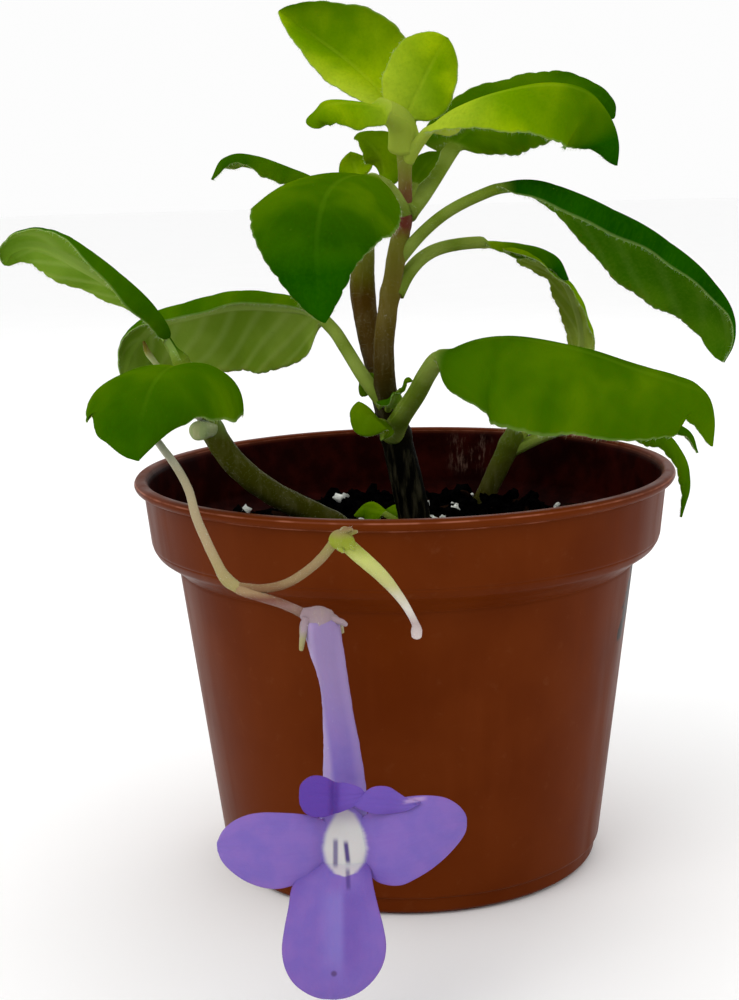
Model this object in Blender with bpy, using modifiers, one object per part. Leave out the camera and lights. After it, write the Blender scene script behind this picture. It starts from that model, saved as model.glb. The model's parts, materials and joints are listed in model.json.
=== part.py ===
"""A young blue-flowered cape primrose in its 9 cm brown plastic nursery pot, in metres, +Z up.

The origin is the middle of the pot's foot, and the viewer of the photo stands on the -Y side.
Every table below is in millimetres, worked out by hand from the photo and from the 90 mm rim.
"""

import math

import bmesh
import bpy
import numpy as np
from mathutils import Vector

for item in list(bpy.data.objects):
    bpy.data.objects.remove(item, do_unlink=True)

# Driving sizes, in millimetres
metre = 0.001
rim_radius = 45.0
rim_height = 66.2
foot_radius = 31.4
soil_level = 54.0
seat_gap = 0.3
plant_lift = 0.6
blade_thickness = 0.8
notch_depth = 0.22
drain_radius = 2.4
drain_circle = 24.0
drain_count = 6

plant = bpy.data.collections.new("cape_primrose")
cutters = bpy.data.collections.new("cutters")
cutters.hide_render = True
bpy.context.scene.collection.children.link(plant)
bpy.context.scene.collection.children.link(cutters)


# Materials
def make_material(name, colour, roughness):
    material = bpy.data.materials.new(name)
    material.use_nodes = True
    shader = material.node_tree.nodes["Principled BSDF"]
    shader.inputs["Base Color"].default_value = (*colour, 1.0)
    shader.inputs["Roughness"].default_value = roughness
    material.diffuse_color = (*colour, 1.0)
    return material


pot_plastic = make_material("pot_plastic", (0.115, 0.028, 0.010), 0.35)
potting_mix = make_material("potting_mix", (0.020, 0.013, 0.010), 0.95)
old_stem = make_material("old_stem", (0.110, 0.050, 0.018), 0.6)
young_stem = make_material("young_stem", (0.170, 0.150, 0.030), 0.6)
old_leaf = make_material("old_leaf", (0.035, 0.130, 0.006), 0.5)
young_leaf = make_material("young_leaf", (0.220, 0.370, 0.010), 0.5)
flower_stalk = make_material("flower_stalk", (0.380, 0.320, 0.160), 0.6)
dry_tissue = make_material("dry_tissue", (0.300, 0.160, 0.060), 0.8)
calyx_green = make_material("calyx_green", (0.420, 0.500, 0.090), 0.6)
corolla_violet = make_material("corolla_violet", (0.200, 0.110, 0.430), 0.55)
pistil_pale = make_material("pistil_pale", (0.560, 0.590, 0.250), 0.5)


# Mesh helpers
def add_object(name, points, faces, material, collection=plant):
    points = np.asarray(points) + np.array([0.0, 0.0, plant_lift])
    mesh = bpy.data.meshes.new(name)
    mesh.from_pydata((np.asarray(points) * metre).tolist(), [], faces)
    mesh.validate()
    shaped = bmesh.new()
    shaped.from_mesh(mesh)
    bmesh.ops.recalc_face_normals(shaped, faces=shaped.faces)
    shaped.to_mesh(mesh)
    shaped.free()
    made = bpy.data.objects.new(name, mesh)
    collection.objects.link(made)
    if material:
        mesh.materials.append(material)
    return made


def cut_away(target, cutter, name):
    modifier = target.modifiers.new(name, "BOOLEAN")
    modifier.operation = "DIFFERENCE"
    modifier.solver = "EXACT"
    modifier.object = cutter
    cutter.hide_render = True
    cutter.display_type = "WIRE"


def unit(vectors):
    lengths = np.linalg.norm(vectors, axis=-1, keepdims=True)
    return vectors / np.maximum(lengths, 1e-9)


def smooth_path(points, samples=120):
    """A Catmull-Rom curve through the points, sampled evenly, and where each sample is among them."""
    given = np.asarray(points, float)
    given = np.vstack([2 * given[0] - given[1], given, 2 * given[-1] - given[-2]])
    share = np.linspace(0, 1, 24, endpoint=False)[:, None]
    pieces = []
    marks = []
    for index in range(1, len(given) - 2):
        a, b, c, d = given[index - 1 : index + 3]
        first = 2 * b + (c - a) * share
        second = (2 * a - 5 * b + 4 * c - d) * share**2
        third = (3 * b - a - 3 * c + d) * share**3
        pieces.append(0.5 * (first + second + third))
        marks.append(index - 1 + share[:, 0])
    dense = np.vstack(pieces + [given[-2:-1]])
    marks = np.concatenate(marks + [[len(points) - 1.0]])
    steps = np.linalg.norm(np.diff(dense[:, :3], axis=0), axis=1)
    travelled = np.concatenate([[0.0], np.cumsum(steps)])
    even = np.linspace(0, travelled[-1], samples)
    columns = [np.interp(even, travelled, dense[:, k]) for k in range(dense.shape[1])]
    return np.stack(columns, -1), np.interp(even, travelled, marks)


def ring_faces(rings, sides):
    """Quads between successive closed rings of points."""
    faces = []
    for row in range(rings - 1):
        for side in range(sides):
            a = row * sides + side
            b = row * sides + (side + 1) % sides
            faces.append((a, b, b + sides, a + sides))
    return faces


def closed_rings(rings):
    """Rings joined into one closed body, with a flat face at each end."""
    sides = len(rings[0])
    last = (len(rings) - 1) * sides
    faces = ring_faces(len(rings), sides)
    faces.append(tuple(range(sides))[::-1])
    faces.append(tuple(range(last, last + sides)))
    return np.concatenate(rings), faces


def carried_frames(line):
    """Ahead, across and up directions carried along a line without twisting."""
    ahead = unit(np.gradient(line, axis=0))
    now = np.array([0.0, 1.0, 0.0])
    if abs(ahead[0] @ now) > 0.9:
        now = np.array([1.0, 0.0, 0.0])
    across = np.zeros_like(line)
    for row, direction in enumerate(ahead):
        now = unit(now - (now @ direction) * direction)
        across[row] = now
    return ahead, across, np.cross(ahead, across)


def rod_rings(line, rows, sides, extra=0.0):
    """Round rings at chosen rows of a line whose fourth number is the radius, and a rounded end."""
    ahead, across, up = carried_frames(line[:, :3])
    angle = np.arange(sides) * 2 * math.pi / sides
    spoke = np.cos(angle)[:, None, None] * across + np.sin(angle)[:, None, None] * up
    rings = [line[row, :3] + (line[row, 3] + extra) * spoke[:, row] for row in rows]
    end = line[rows[-1], :3]
    dome = end + ahead[rows[-1]] * (line[rows[-1], 3] + extra) * 0.45
    rings.append(dome + (rings[-1] - end) * 0.6)
    return rings, ahead[rows[0]]


def spread_rows(first, last, count):
    return np.linspace(first, last, count).round().astype(int)


def rod_shape(plan, rows, sides, extra=0.0):
    line, _ = smooth_path(plan)
    rings, _ = rod_rings(line, spread_rows(0, len(line) - 1, rows), sides, extra)
    return closed_rings(rings)


def seat_points(points, direction, host):
    """Slides points back along a stalk until they meet the host's round side, less the gap."""
    axis_line = unit(np.gradient(host[:, :3], axis=0))
    away = np.linalg.norm(host[None, :, :3] - points[:, None, :], axis=2)
    near = away.mean(axis=0).argmin()
    axis = axis_line[near]
    reach = host[near, 3] + seat_gap
    offset = points - host[near, :3]
    offset = offset - (offset @ axis)[:, None] * axis
    slide = direction - (direction @ axis) * axis
    # The length of offset less t times slide equals the reach: a quadratic in t
    a = slide @ slide
    b = offset @ slide
    c = (offset * offset).sum(axis=1) - reach * reach
    back = (b - np.sqrt(np.maximum(b * b - a * c, 0.0))) / max(a, 1e-6)
    return points - np.clip(back, 0.0, 12.0)[:, None] * direction


def seated_rings(rings, direction, host, close_end):
    """Adds the saddle that a stalk sits on its host with; with no host it starts flat."""
    middle = rings[0].mean(axis=0)[None, :]
    if host is not None:
        rings = [seat_points(rings[0], direction, host)] + rings
        middle = seat_points(middle, direction, host)
    sides = len(rings[0])
    points = np.concatenate(rings + [middle])
    centre = len(points) - 1
    faces = [(centre, (side + 1) % sides, side) for side in range(sides)]
    return points, faces + close_end(len(rings), sides)


def clear_row(line, host, margin):
    """First row of a path that has left the host stem by this margin."""
    away = np.linalg.norm(line[:, None, :3] - host[None, :, :3], axis=2)
    return int(((away - host[None, :, 3]).min(axis=1) > margin).argmax())


# Stems
stems = {
    "main_stem": [
        (2.4, 0.0, 47.0, 2.7),
        (1.6, -1.5, 57.0, 2.7),
        (0.0, -2.0, 65.4, 2.65),
        (-1.4, -2.0, 72.2, 2.6),
        (-2.6, -2.8, 77.4, 2.5),
        (-2.9, -3.8, 82.1, 1.75),
        (-2.8, -4.0, 87.2, 1.65),
        (-2.1, -4.0, 92.1, 1.6),
        (-1.2, -4.0, 97.0, 1.55),
        (-0.3, -4.0, 101.8, 1.55),
        (0.6, -3.5, 105.8, 1.45),
        (1.2, -3.0, 109.7, 1.2),
        (1.3, -2.4, 115.3, 1.15),
        (1.5, -2.2, 119.8, 1.4),
    ],
    "left_stem": [
        (-4.2, -11.0, 46.5, 2.1),
        (-5.4, -12.2, 54.0, 2.1),
        (-9.4, -14.0, 59.4, 2.1),
        (-17.0, -16.0, 63.2, 2.1),
        (-23.9, -17.0, 67.6, 2.1),
        (-28.4, -17.0, 72.3, 2.05),
        (-31.2, -17.0, 77.2, 1.8),
    ],
    "right_stem": [
        (12.0, 27.0, 47.5, 1.8),
        (15.2, 27.0, 54.0, 1.8),
        (18.1, 27.0, 58.9, 1.8),
        (20.9, 27.0, 63.5, 1.75),
        (22.8, 27.0, 66.8, 1.7),
    ],
}
hosts = {}
for name, plan in stems.items():
    rows = 16 if name == "main_stem" else 9
    points, faces = rod_shape(plan, rows, 12)
    add_object(name, points, faces, old_stem if name == "main_stem" else young_stem)
    hosts[name] = smooth_path(plan)[0]


# Stalks are rods whose first ring sits on a host stem and whose end is rounded
stalks = {
    "rear_shoot": {
        "on": "main_stem",
        "path": [
            (-2.6, -1.3, 74.5, 1.5),
            (-3.4, 3.0, 80.8, 1.65),
            (-4.8, 5.2, 86.3, 1.85),
            (-5.6, 7.2, 91.2, 2.05),
            (-5.9, 8.2, 95.2, 2.15),
            (-5.7, 9.0, 101.3, 1.8),
            (-4.9, 9.0, 108.0, 1.5),
            (-3.9, 9.0, 113.2, 1.3),
        ],
        "rows": 12,
        "sides": 12,
        "material": old_stem,
    },
    "cut_shoot": {
        "on": "left_stem",
        "path": [
            (-30.0, -17.0, 74.4, 1.2),
            (-31.2, -21.4, 74.0, 1.7),
            (-31.8, -24.2, 74.0, 1.7),
        ],
        "rows": 4,
        "sides": 12,
        "material": young_stem,
    },
    "dried_stalk": {
        "on": "left_stem",
        "path": [
            (-29.4, -17.0, 74.4, 0.5),
            (-32.4, -13.0, 76.8, 0.5),
            (-36.6, -11.6, 81.6, 0.45),
            (-39.1, -12.0, 86.0, 0.5),
            (-41.0, -12.5, 89.0, 0.4),
        ],
        "rows": 7,
        "sides": 8,
        "material": dry_tissue,
    },
    "flower_stalk": {
        "on": "left_stem",
        "path": [
            (-30.6, -17.0, 75.8, 0.7),
            (-34.6, -22.0, 78.6, 0.7),
            (-36.8, -33.0, 80.2, 0.65),
            (-37.4, -40.0, 79.0, 0.65),
            (-35.2, -44.5, 77.0, 0.65),
            (-32.4, -48.0, 72.9, 0.65),
            (-30.1, -53.0, 67.5, 0.65),
            (-27.9, -56.0, 62.9, 0.7),
            (-24.6, -59.0, 59.8, 0.8),
        ],
        "rows": 20,
        "sides": 8,
        "material": flower_stalk,
    },
}


def rod_end(rings, sides):
    last = (rings - 1) * sides
    return ring_faces(rings, sides) + [tuple(range(last, last + sides))]


for name, plan in stalks.items():
    line, _ = smooth_path(plan["path"])
    host = hosts[plan["on"]]
    start = clear_row(line, host, line[0, 3] + seat_gap + 0.4)
    rings, direction = rod_rings(line, spread_rows(start, len(line) - 1, plan["rows"]), plan["sides"])
    points, faces = seated_rings(rings, direction, host, rod_end)
    add_object(name, points, faces, plan["material"])
    hosts[name] = line


# Leaves: each rides on a stem by a round stalk that turns into a curved blade
def outline_share(along, fullness, base_power, tip_power):
    """Half-width of a blade as a share of its widest, from its base to its tip."""
    phase = np.clip(along, 0, 1) ** fullness
    power = np.where(phase < 0.5, base_power, tip_power)
    return np.sin(math.pi * phase) ** power


def half_section(share, width, fold, curl):
    """Sideways and upward reach of half a blade that starts at one angle and bends down along an arc."""
    bend = curl if abs(curl) > 0.001 else 0.001
    angle = fold - bend * share
    side = width * (math.sin(fold) - np.sin(angle)) / bend
    rise = width * (np.cos(angle) - math.cos(fold)) / bend
    return side, rise, angle


def leaf_marks(plan, line, marks, host):
    """Where the blade begins and where the rings go, as shares of the path's length."""
    shares = np.linspace(0, 1, len(line))
    begin = float(np.interp(plan["start"], marks, shares))
    radius = plan.get("stalk", (1.0, 0.9))[0]
    leave = 0.0 if host is None else shares[clear_row(line, host, radius + seat_gap + 0.3)]
    length = np.linalg.norm(np.diff(line, axis=0), axis=1).sum()
    stalk_rows = max(1, int(round((begin - leave) * length / 3.6)) + 1)
    stalk_marks = np.linspace(leave, begin, stalk_rows, endpoint=False) if leave < begin else []
    blade_rows = plan.get("rows", 2 * plan.get("teeth", 0) + 1)
    even = np.linspace(0, 1, blade_rows)
    crowded = even - 0.055 * np.sin(2 * math.pi * even)
    blade_from = max(begin, leave)
    return begin, len(stalk_marks), np.concatenate([stalk_marks, blade_from + (1 - blade_from) * crowded])


def upward_frames(plan, line, begin):
    """Ahead and up along the path; up turns from the base's direction to the tip's."""
    ahead = unit(np.gradient(line, axis=0))
    turn = np.clip((np.linspace(0, 1, len(line)) - begin) / (1 - begin), 0, 1)[:, None]
    turn = turn * turn * (3 - 2 * turn)
    first = unit(np.array(plan["up"], float))
    last = unit(np.array(plan.get("tip_up", plan["up"]), float))
    upward = first * (1 - turn) + last * turn
    return ahead, unit(upward - (upward * ahead).sum(axis=1, keepdims=True) * ahead)


def blade_ring(plan, along, rod, tooth):
    """Ten points round a cut across the leaf, sideways and upward: five on top, then five below."""
    spots = np.array([-1.0, -0.55, 0.0, 0.55, 1.0])
    circle = np.radians(36) * np.arange(-2, 3)
    full = outline_share(along, plan.get("full", 0.8), plan.get("base", 0.55), plan.get("tip", 0.7))
    ridge = 0.75 * rod * (1 - along) + 0.05
    opened = min(1.0, max(0.0, (along - 0.62) / 0.3))
    opened = 0.85 * opened * opened * (3 - 2 * opened)
    top = []
    low = []
    for share in spots:
        facing = -1 if share < 0 else 1
        half = 0 if share < 0 else 1
        fold, curl = plan["left"] if share < 0 else plan["right"]
        curl = curl * (1 - opened * plan.get("open", (0.0, 0.0))[half])
        width = max(plan["width"][half] * full + tooth * min(1.0, 3 * full), 0.5)
        side, rise, angle = half_section(abs(share), width, math.radians(fold), math.radians(curl))
        swell = math.sin(2 * math.pi * plan.get("waves", 2.0) * along + facing)
        rise = rise + plan.get("wave", 0.35) * share * share * swell * math.sin(math.pi * along)
        normal = np.array([-math.sin(angle) * facing, math.cos(angle)])
        if share == 0.0:
            normal = np.array([0.0, 1.0])
        middle = np.array([facing * side, rise])
        top.append(middle + normal * blade_thickness / 2)
        low.append(middle - normal * blade_thickness / 2)
    low[2][1] -= ridge
    blend = min(1.0, along / 0.07)
    blend = blend * blend * (3 - 2 * blend)
    round_top = np.stack([rod * np.sin(circle), rod * np.cos(circle)], -1)
    round_low = np.stack([rod * np.sin(circle), -rod * np.cos(circle)], -1)
    top = np.array(top) * blend + round_top * (1 - blend)
    low = np.array(low) * blend + round_low * (1 - blend)
    return np.concatenate([top, low[::-1]])


def leaf_faces(rings, sides):
    """Triangles split alike on the two faces of a blade, with the tip closed."""
    faces = []
    for row in range(rings - 1):
        for spot in range(sides):
            a = row * sides + spot
            b = row * sides + (spot + 1) % sides
            c = b + sides
            d = a + sides
            if spot < 5:
                faces += [(a, b, c), (a, c, d)]
            else:
                faces += [(a, b, d), (b, c, d)]
    last = (rings - 1) * sides
    for spot in range(4):
        faces.append((last + spot, last + spot + 1, last + 8 - spot, last + 9 - spot))
    return faces


def leaf_shape(plan, host):
    line, marks = smooth_path(plan["path"])
    shares = np.linspace(0, 1, len(line))
    begin, stalk_rows, ring_marks = leaf_marks(plan, line, marks, host)
    ahead_line, up_line = upward_frames(plan, line, begin)
    stalk_first, stalk_last = plan.get("stalk", (1.0, 0.9))
    rings = []
    for row, mark in enumerate(ring_marks):
        place, ahead, above = (
            np.array([np.interp(mark, shares, column[:, k]) for k in range(3)])
            for column in (line, ahead_line, up_line)
        )
        beside = unit(np.cross(ahead, above))
        above = np.cross(beside, unit(ahead))
        along = max(0.0, (mark - begin) / (1 - begin))
        rod = stalk_first + (stalk_last - stalk_first) * min(1.0, mark / max(begin, 0.01))
        toothed = "teeth" in plan and stalk_rows < row < len(ring_marks) - 1
        tooth = notch_depth * (1 if (row - stalk_rows) % 2 else -1) if toothed else 0.0
        outline = blade_ring(plan, along, rod, tooth)
        rings.append(place + outline[:, :1] * beside + outline[:, 1:] * above)
        if row == 0:
            direction = unit(ahead)
    return seated_rings(rings, direction, host, leaf_faces)


leaves = {
    "leaf_crown_left": {
        "on": "main_stem",
        "path": [(1.2, -1.8, 118.4), (-0.9, 4.0, 124.8), (-7.2, 8.0, 131.2), (-13.4, 9.0, 136.3),
                 (-19.4, 8.0, 140.4)],
        "start": 0.9, "width": (6.2, 10.2), "up": (0.25, -0.85, 0.45),
        "left": (20, 10), "right": (20, 10), "teeth": 6, "stalk": (1.0, 0.9),
        "material": young_leaf,
    },
    "leaf_crown_small": {
        "on": "main_stem",
        "path": [(1.5, -2.2, 120.75), (2.9, -2.4, 125.4), (5.2, -2.6, 130.1), (7.8, -3.6, 133.0),
                 (10.2, -5.4, 135.0)],
        "start": 0.9, "end_on": True, "width": (5.6, 6.0), "up": (-0.35, -0.9, 0.25),
        "left": (18, 15), "right": (18, 15), "teeth": 5, "stalk": (0.9, 0.8), "full": 0.95,
        "material": young_leaf,
    },
    "leaf_upper_left": {
        "on": "main_stem",
        "path": [(0.9, -2.6, 117.6), (-1.2, -7.0, 122.4), (-5.5, -12.0, 125.2), (-9.9, -15.0, 125.5),
                 (-12.6, -16.0, 124.4), (-13.6, -16.0, 122.2)],
        "start": 0.6, "width": (5.4, 5.4), "up": (0.0, -0.35, 0.93),
        "left": (0, 55), "right": (0, 45), "teeth": 5, "stalk": (0.85, 0.8), "tip": 0.6,
        "material": young_leaf,
    },
    "leaf_upper_right": {
        "on": "main_stem",
        "path": [(1.8, -2.3, 116.6), (4.9, -7.4, 123.2), (12.0, -12.0, 126.9), (20.3, -14.0, 126.9),
                 (28.3, -14.0, 125.9), (32.9, -13.0, 121.6), (33.8, -12.0, 114.9)],
        "start": 0.9, "width": (9.0, 11.0), "up": (0.05, -0.3, 0.95), "tip_up": (0.8, -0.55, 0.3),
        "full": 0.95, "base": 0.42,
        "left": (0, 60), "right": (0, 75), "teeth": 9, "stalk": (1.0, 0.95), "tip": 0.6,
        "material": young_leaf,
    },
    "leaf_rear_right": {
        "on": "main_stem",
        "path": [(1.3, -2.4, 112.6), (4.7, 4.0, 118.0), (8.4, 9.6, 122.4), (14.4, 13.6, 126.1),
                 (23.4, 15.6, 128.0), (32.6, 16.4, 128.2), (38.4, 16.0, 125.2)],
        "start": 1.5, "width": (9.0, 8.0), "stalk": (0.95, 0.9), "base": 0.45,
        "up": (-0.1, 0.8, 0.55), "tip_up": (0.5, 0.5, 0.6),
        "left": (0, 30), "right": (10, 130), "teeth": 8,
        "material": old_leaf,
    },
    "leaf_axil_rear": {
        "on": "main_stem",
        "path": [(0.6, -3.4, 102.8), (1.9, 0.8, 108.4), (4.1, 3.8, 112.8), (7.4, 6.0, 115.9),
                 (10.8, 7.4, 117.4)],
        "start": 0.75, "width": (4.4, 3.6), "up": (-0.65, -0.4, 0.65),
        "left": (15, 25), "right": (0, 40), "teeth": 5, "stalk": (0.85, 0.8), "wave": 0.15,
        "material": young_leaf,
    },
    "leaf_mid_small": {
        "on": "rear_shoot",
        "path": [(-4.2, 9.0, 110.6), (-1.8, 5.4, 113.8), (-2.6, 3.6, 117.4), (-6.3, 3.6, 120.2)],
        "start": 0.8, "width": (3.6, 3.6), "up": (-0.5, -0.75, 0.1),
        "left": (15, 30), "right": (15, 30), "teeth": 4, "stalk": (0.65, 0.6), "wave": 0.1,
        "material": young_leaf,
    },
    "leaf_mid_rear": {
        "on": "rear_shoot",
        "path": [(-4.2, 9.0, 110.8), (-6.0, 12.0, 113.2), (-7.0, 13.5, 115.6), (-7.6, 13.0, 117.6)],
        "start": 0.9, "width": (3.2, 3.2), "up": (-0.3, -0.85, 0.3),
        "left": (15, 30), "right": (15, 30), "rows": 9, "stalk": (0.65, 0.6), "wave": 0.1,
        "material": young_leaf,
    },
    "leaf_mid_left": {
        "on": "rear_shoot",
        "path": [(-5.0, 9.0, 107.0), (-11.2, 12.0, 111.8), (-17.9, 14.0, 115.1), (-24.7, 14.0, 117.4),
                 (-29.1, 13.0, 116.9), (-31.1, 12.0, 113.6)],
        "start": 1.0, "width": (4.8, 4.8), "up": (0.0, 0.1, 1.0), "tip_up": (-0.7, 0.0, 0.6),
        "left": (0, 80), "right": (0, 50), "teeth": 7, "stalk": (0.95, 0.85),
        "material": old_leaf,
    },
    "leaf_front_left": {
        "on": "main_stem",
        "path": [(0.8, -3.2, 107.6), (-2.3, -10.0, 112.4), (-5.1, -16.0, 114.1), (-7.6, -26.0, 111.7),
                 (-9.7, -32.0, 108.6), (-11.5, -36.0, 104.5), (-12.3, -38.0, 98.9),
                 (-11.9, -38.0, 93.6)],
        "start": 1.9, "width": (11.4, 14.8), "up": (0.1, -0.2, 0.97), "tip_up": (-0.1, -1.0, 0.1),
        "full": 0.72, "base": 0.5, "tip": 0.75,
        "left": (4, 50), "right": (4, 50), "teeth": 9,
        "material": old_leaf,
    },
    "leaf_far_left": {
        "on": "left_stem",
        "path": [(-31.75, -17.0, 78.2), (-33.0, -17.5, 81.4), (-34.6, -18.0, 86.8), (-36.6, -18.2, 92.0),
                 (-39.2, -19.0, 95.5), (-43.4, -20.0, 98.7), (-47.8, -21.0, 101.7),
                 (-52.3, -21.2, 103.2), (-56.4, -21.0, 103.0), (-60.0, -20.8, 101.0)],
        "start": 2.9, "end_on": True, "width": (8.0, 4.8), "up": (0.2, 0.42, 0.88), "tip_up": (-0.3, 0.6, 0.75),
        "left": (48, 150), "right": (0, 25), "open": (1.0, 0.0), "teeth": 9,
        "full": 0.95, "base": 0.5, "tip": 0.4, "stalk": (1.15, 1.0),
        "material": old_leaf,
    },
    "leaf_rear_left": {
        "on": "main_stem",
        "path": [(-2.8, -3.4, 76.4), (-6.2, -1.8, 80.9), (-9.2, 3.2, 85.4), (-11.4, 6.8, 88.4),
                 (-14.8, 10.2, 90.9), (-20.4, 12.4, 91.7), (-28.2, 14.4, 91.9), (-36.4, 16.0, 90.3),
                 (-42.4, 17.0, 88.6),
                 (-46.5, 17.0, 84.6), (-48.2, 15.4, 79.8)],
        "start": 3.4, "width": (8.6, 13.2), "up": (0.05, 0.85, 0.5), "tip_up": (-0.6, 0.7, 0.4),
        "left": (20, 140), "right": (0, 20), "open": (0.6, 0.0), "teeth": 11,
        "base": 0.6, "tip": 0.45, "stalk": (1.15, 1.1),
        "material": old_leaf,
    },
    "leaf_low_left": {
        "on": "left_stem",
        "path": [(-30.9, -17.0, 75.6), (-30.4, -25.0, 80.8), (-30.4, -31.0, 85.2), (-32.2, -37.0, 88.0),
                 (-34.5, -43.0, 88.0), (-36.9, -47.4, 84.8), (-38.5, -49.6, 80.9),
                 (-39.4, -50.0, 76.4)],
        "start": 1.7, "width": (10.4, 15.4), "up": (-0.05, -0.15, 0.98), "tip_up": (-0.3, -0.9, 0.3),
        "full": 0.66, "base": 0.35, "tip": 0.55,
        "left": (0, 45), "right": (6, 60), "teeth": 9,
        "material": old_leaf,
    },
    "leaf_high_right": {
        "on": "main_stem",
        "path": [(-0.3, -3.8, 100.2), (5.0, -6.0, 106.0), (10.5, -7.2, 109.6), (16.8, -8.2, 111.1),
                 (25.4, -9.2, 109.6), (34.8, -10.0, 105.5), (45.2, -10.0, 97.7), (52.2, -9.0, 89.6),
                 (54.0, -8.0, 81.8)],
        "start": 2.9, "width": (10.4, 11.0), "full": 1.15, "base": 1.0,
        "up": (0.15, 0.5, 0.85), "tip_up": (0.9, 0.4, 0.2),
        "left": (0, 30), "right": (20, 115), "open": (0.0, 0.4), "teeth": 12,
        "material": old_leaf,
    },
    "leaf_thin_right": {
        "on": "main_stem",
        "path": [(-0.7, -4.0, 94.8), (4.2, -0.4, 100.8), (10.5, 3.0, 103.2), (17.8, 5.8, 103.3),
                 (25.0, 7.6, 101.9), (29.4, 8.0, 98.5)],
        "start": 1.6, "width": (4.8, 4.8), "up": (0.1, 0.0, 1.0), "tip_up": (0.5, 0.0, 0.8),
        "left": (0, 60), "right": (0, 60), "teeth": 7, "stalk": (1.0, 0.85),
        "material": old_leaf,
    },
    "leaf_curled_right": {
        "on": "right_stem",
        "path": [(22.0, 27.0, 65.4), (29.6, 27.0, 72.4), (34.2, 26.0, 80.8), (34.0, 24.6, 87.2),
                 (31.4, 23.0, 93.6), (27.0, 21.4, 98.6), (22.4, 20.4, 100.2), (18.6, 19.6, 99.6)],
        "start": 1.6, "width": (7.0, 6.4), "up": (0.9, -0.35, 0.2), "tip_up": (0.1, -0.3, 0.95),
        "left": (0, 45), "right": (0, 45), "teeth": 8, "stalk": (1.0, 0.9),
        "material": old_leaf,
    },
    "leaf_low_right": {
        "on": "main_stem",
        "path": [(-1.3, -2.4, 71.0), (0.2, -9.2, 76.3), (2.6, -15.6, 81.4), (4.9, -20.0, 85.5),
                 (12.2, -25.0, 88.5), (21.6, -29.0, 89.0), (33.0, -32.0, 86.2), (42.4, -33.0, 80.7),
                 (46.0, -33.0, 73.4)],
        "start": 2.8, "width": (7.6, 14.8), "full": 0.7, "base": 0.48,
        "up": (0.0, -0.35, 0.93), "tip_up": (0.8, -0.5, 0.2),
        "left": (0, 50), "right": (0, 70), "teeth": 12, "tip": 0.5, "stalk": (1.35, 1.2),
        "material": old_leaf,
    },
    "leaf_rim_front": {
        "on": "right_stem",
        "path": [(21.6, 27.0, 63.4), (29.0, 23.0, 68.2), (38.0, 23.0, 69.6), (44.6, 23.0, 67.8),
                 (49.8, 22.0, 62.8), (51.7, 20.0, 57.0), (49.5, 18.4, 51.4)],
        "start": 1.8, "width": (4.2, 4.6), "up": (0.1, -0.25, 0.95), "tip_up": (1.0, -0.2, 0.0),
        "left": (0, 70), "right": (0, 70), "teeth": 8, "stalk": (0.9, 0.8),
        "material": old_leaf,
    },
    "leaf_rim_rear": {
        "on": "right_stem",
        "path": [(21.8, 27.4, 63.8), (33.0, 34.0, 69.6), (44.6, 34.6, 70.4), (53.4, 34.0, 67.2),
                 (56.4, 33.0, 62.2)],
        "start": 0.9, "width": (5.2, 5.2), "up": (0.1, -0.1, 1.0), "tip_up": (1.0, -0.1, 0.1),
        "left": (0, 60), "right": (0, 60), "teeth": 7, "stalk": (0.9, 0.8),
        "material": old_leaf,
    },
    "leaf_base_round": {
        "on": "main_stem",
        "path": [(-2.6, -2.4, 73.4), (-4.6, -8.0, 76.4), (-6.0, -11.2, 77.0), (-7.5, -13.0, 74.2)],
        "start": 0.9, "width": (3.8, 3.4), "up": (-0.2, -0.6, 0.75), "tip_up": (-0.4, -0.9, 0.1),
        "left": (0, 40), "right": (0, 40), "rows": 11, "stalk": (0.75, 0.65), "wave": 0.1,
        "full": 0.7, "tip": 0.5, "material": young_leaf,
    },
    "leaf_base_tiny": {
        "on": "main_stem",
        "path": [(-2.6, -3.2, 75.6), (-2.6, -7.4, 78.2), (-2.0, -9.8, 79.8)],
        "start": 0.8, "width": (1.8, 1.8), "up": (0.2, -0.7, 0.7),
        "left": (0, 40), "right": (0, 40), "rows": 7, "stalk": (0.5, 0.5), "wave": 0.05,
        "material": young_leaf,
    },
    "leaf_axil_left": {
        "on": "main_stem",
        "path": [(-2.8, -4.0, 78.8), (-6.0, -7.0, 80.2), (-7.4, -8.4, 80.6)],
        "start": 0.7, "width": (1.9, 1.9), "up": (-0.3, -0.8, 0.5),
        "left": (0, 30), "right": (0, 30), "rows": 7, "stalk": (0.6, 0.6), "wave": 0.05,
        "material": young_leaf,
    },
    "leaf_axil_right": {
        "on": "main_stem",
        "path": [(-2.6, -3.4, 76.8), (-0.2, -6.8, 79.6), (0.5, -7.8, 81.2), (1.5, -8.2, 81.0)],
        "start": 0.9, "width": (1.1, 1.1), "up": (-0.5, -0.3, 0.8),
        "left": (0, 40), "right": (0, 40), "rows": 7, "stalk": (0.5, 0.45), "wave": 0.05,
        "material": young_leaf,
    },
    "leaf_soil_left": {
        "on": "main_stem",
        "path": [(1.2, -1.0, 54.8), (-2.6, 2.5, 57.9), (-5.0, 4.2, 58.7), (-6.8, 5.2, 58.9),
                 (-8.2, 5.6, 57.4)],
        "start": 1.2, "width": (2.6, 2.4), "up": (0.0, -0.3, 0.95), "tip_up": (-0.9, -0.2, 0.3),
        "left": (0, 60), "right": (0, 50), "rows": 7, "stalk": (0.6, 0.55), "wave": 0.05,
        "material": young_leaf,
    },
    "leaf_soil_right": {
        "on": "main_stem",
        "path": [(1.4, -0.8, 55.2), (-0.6, 2.6, 58.4), (-1.6, 4.2, 59.0), (-2.6, 5.6, 58.4)],
        "start": 1.0, "width": (1.9, 1.9), "up": (-0.3, -0.3, 0.9), "tip_up": (-0.7, -0.4, 0.5),
        "left": (0, 60), "right": (0, 60), "rows": 7, "stalk": (0.55, 0.5), "wave": 0.05,
        "material": young_leaf,
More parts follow.
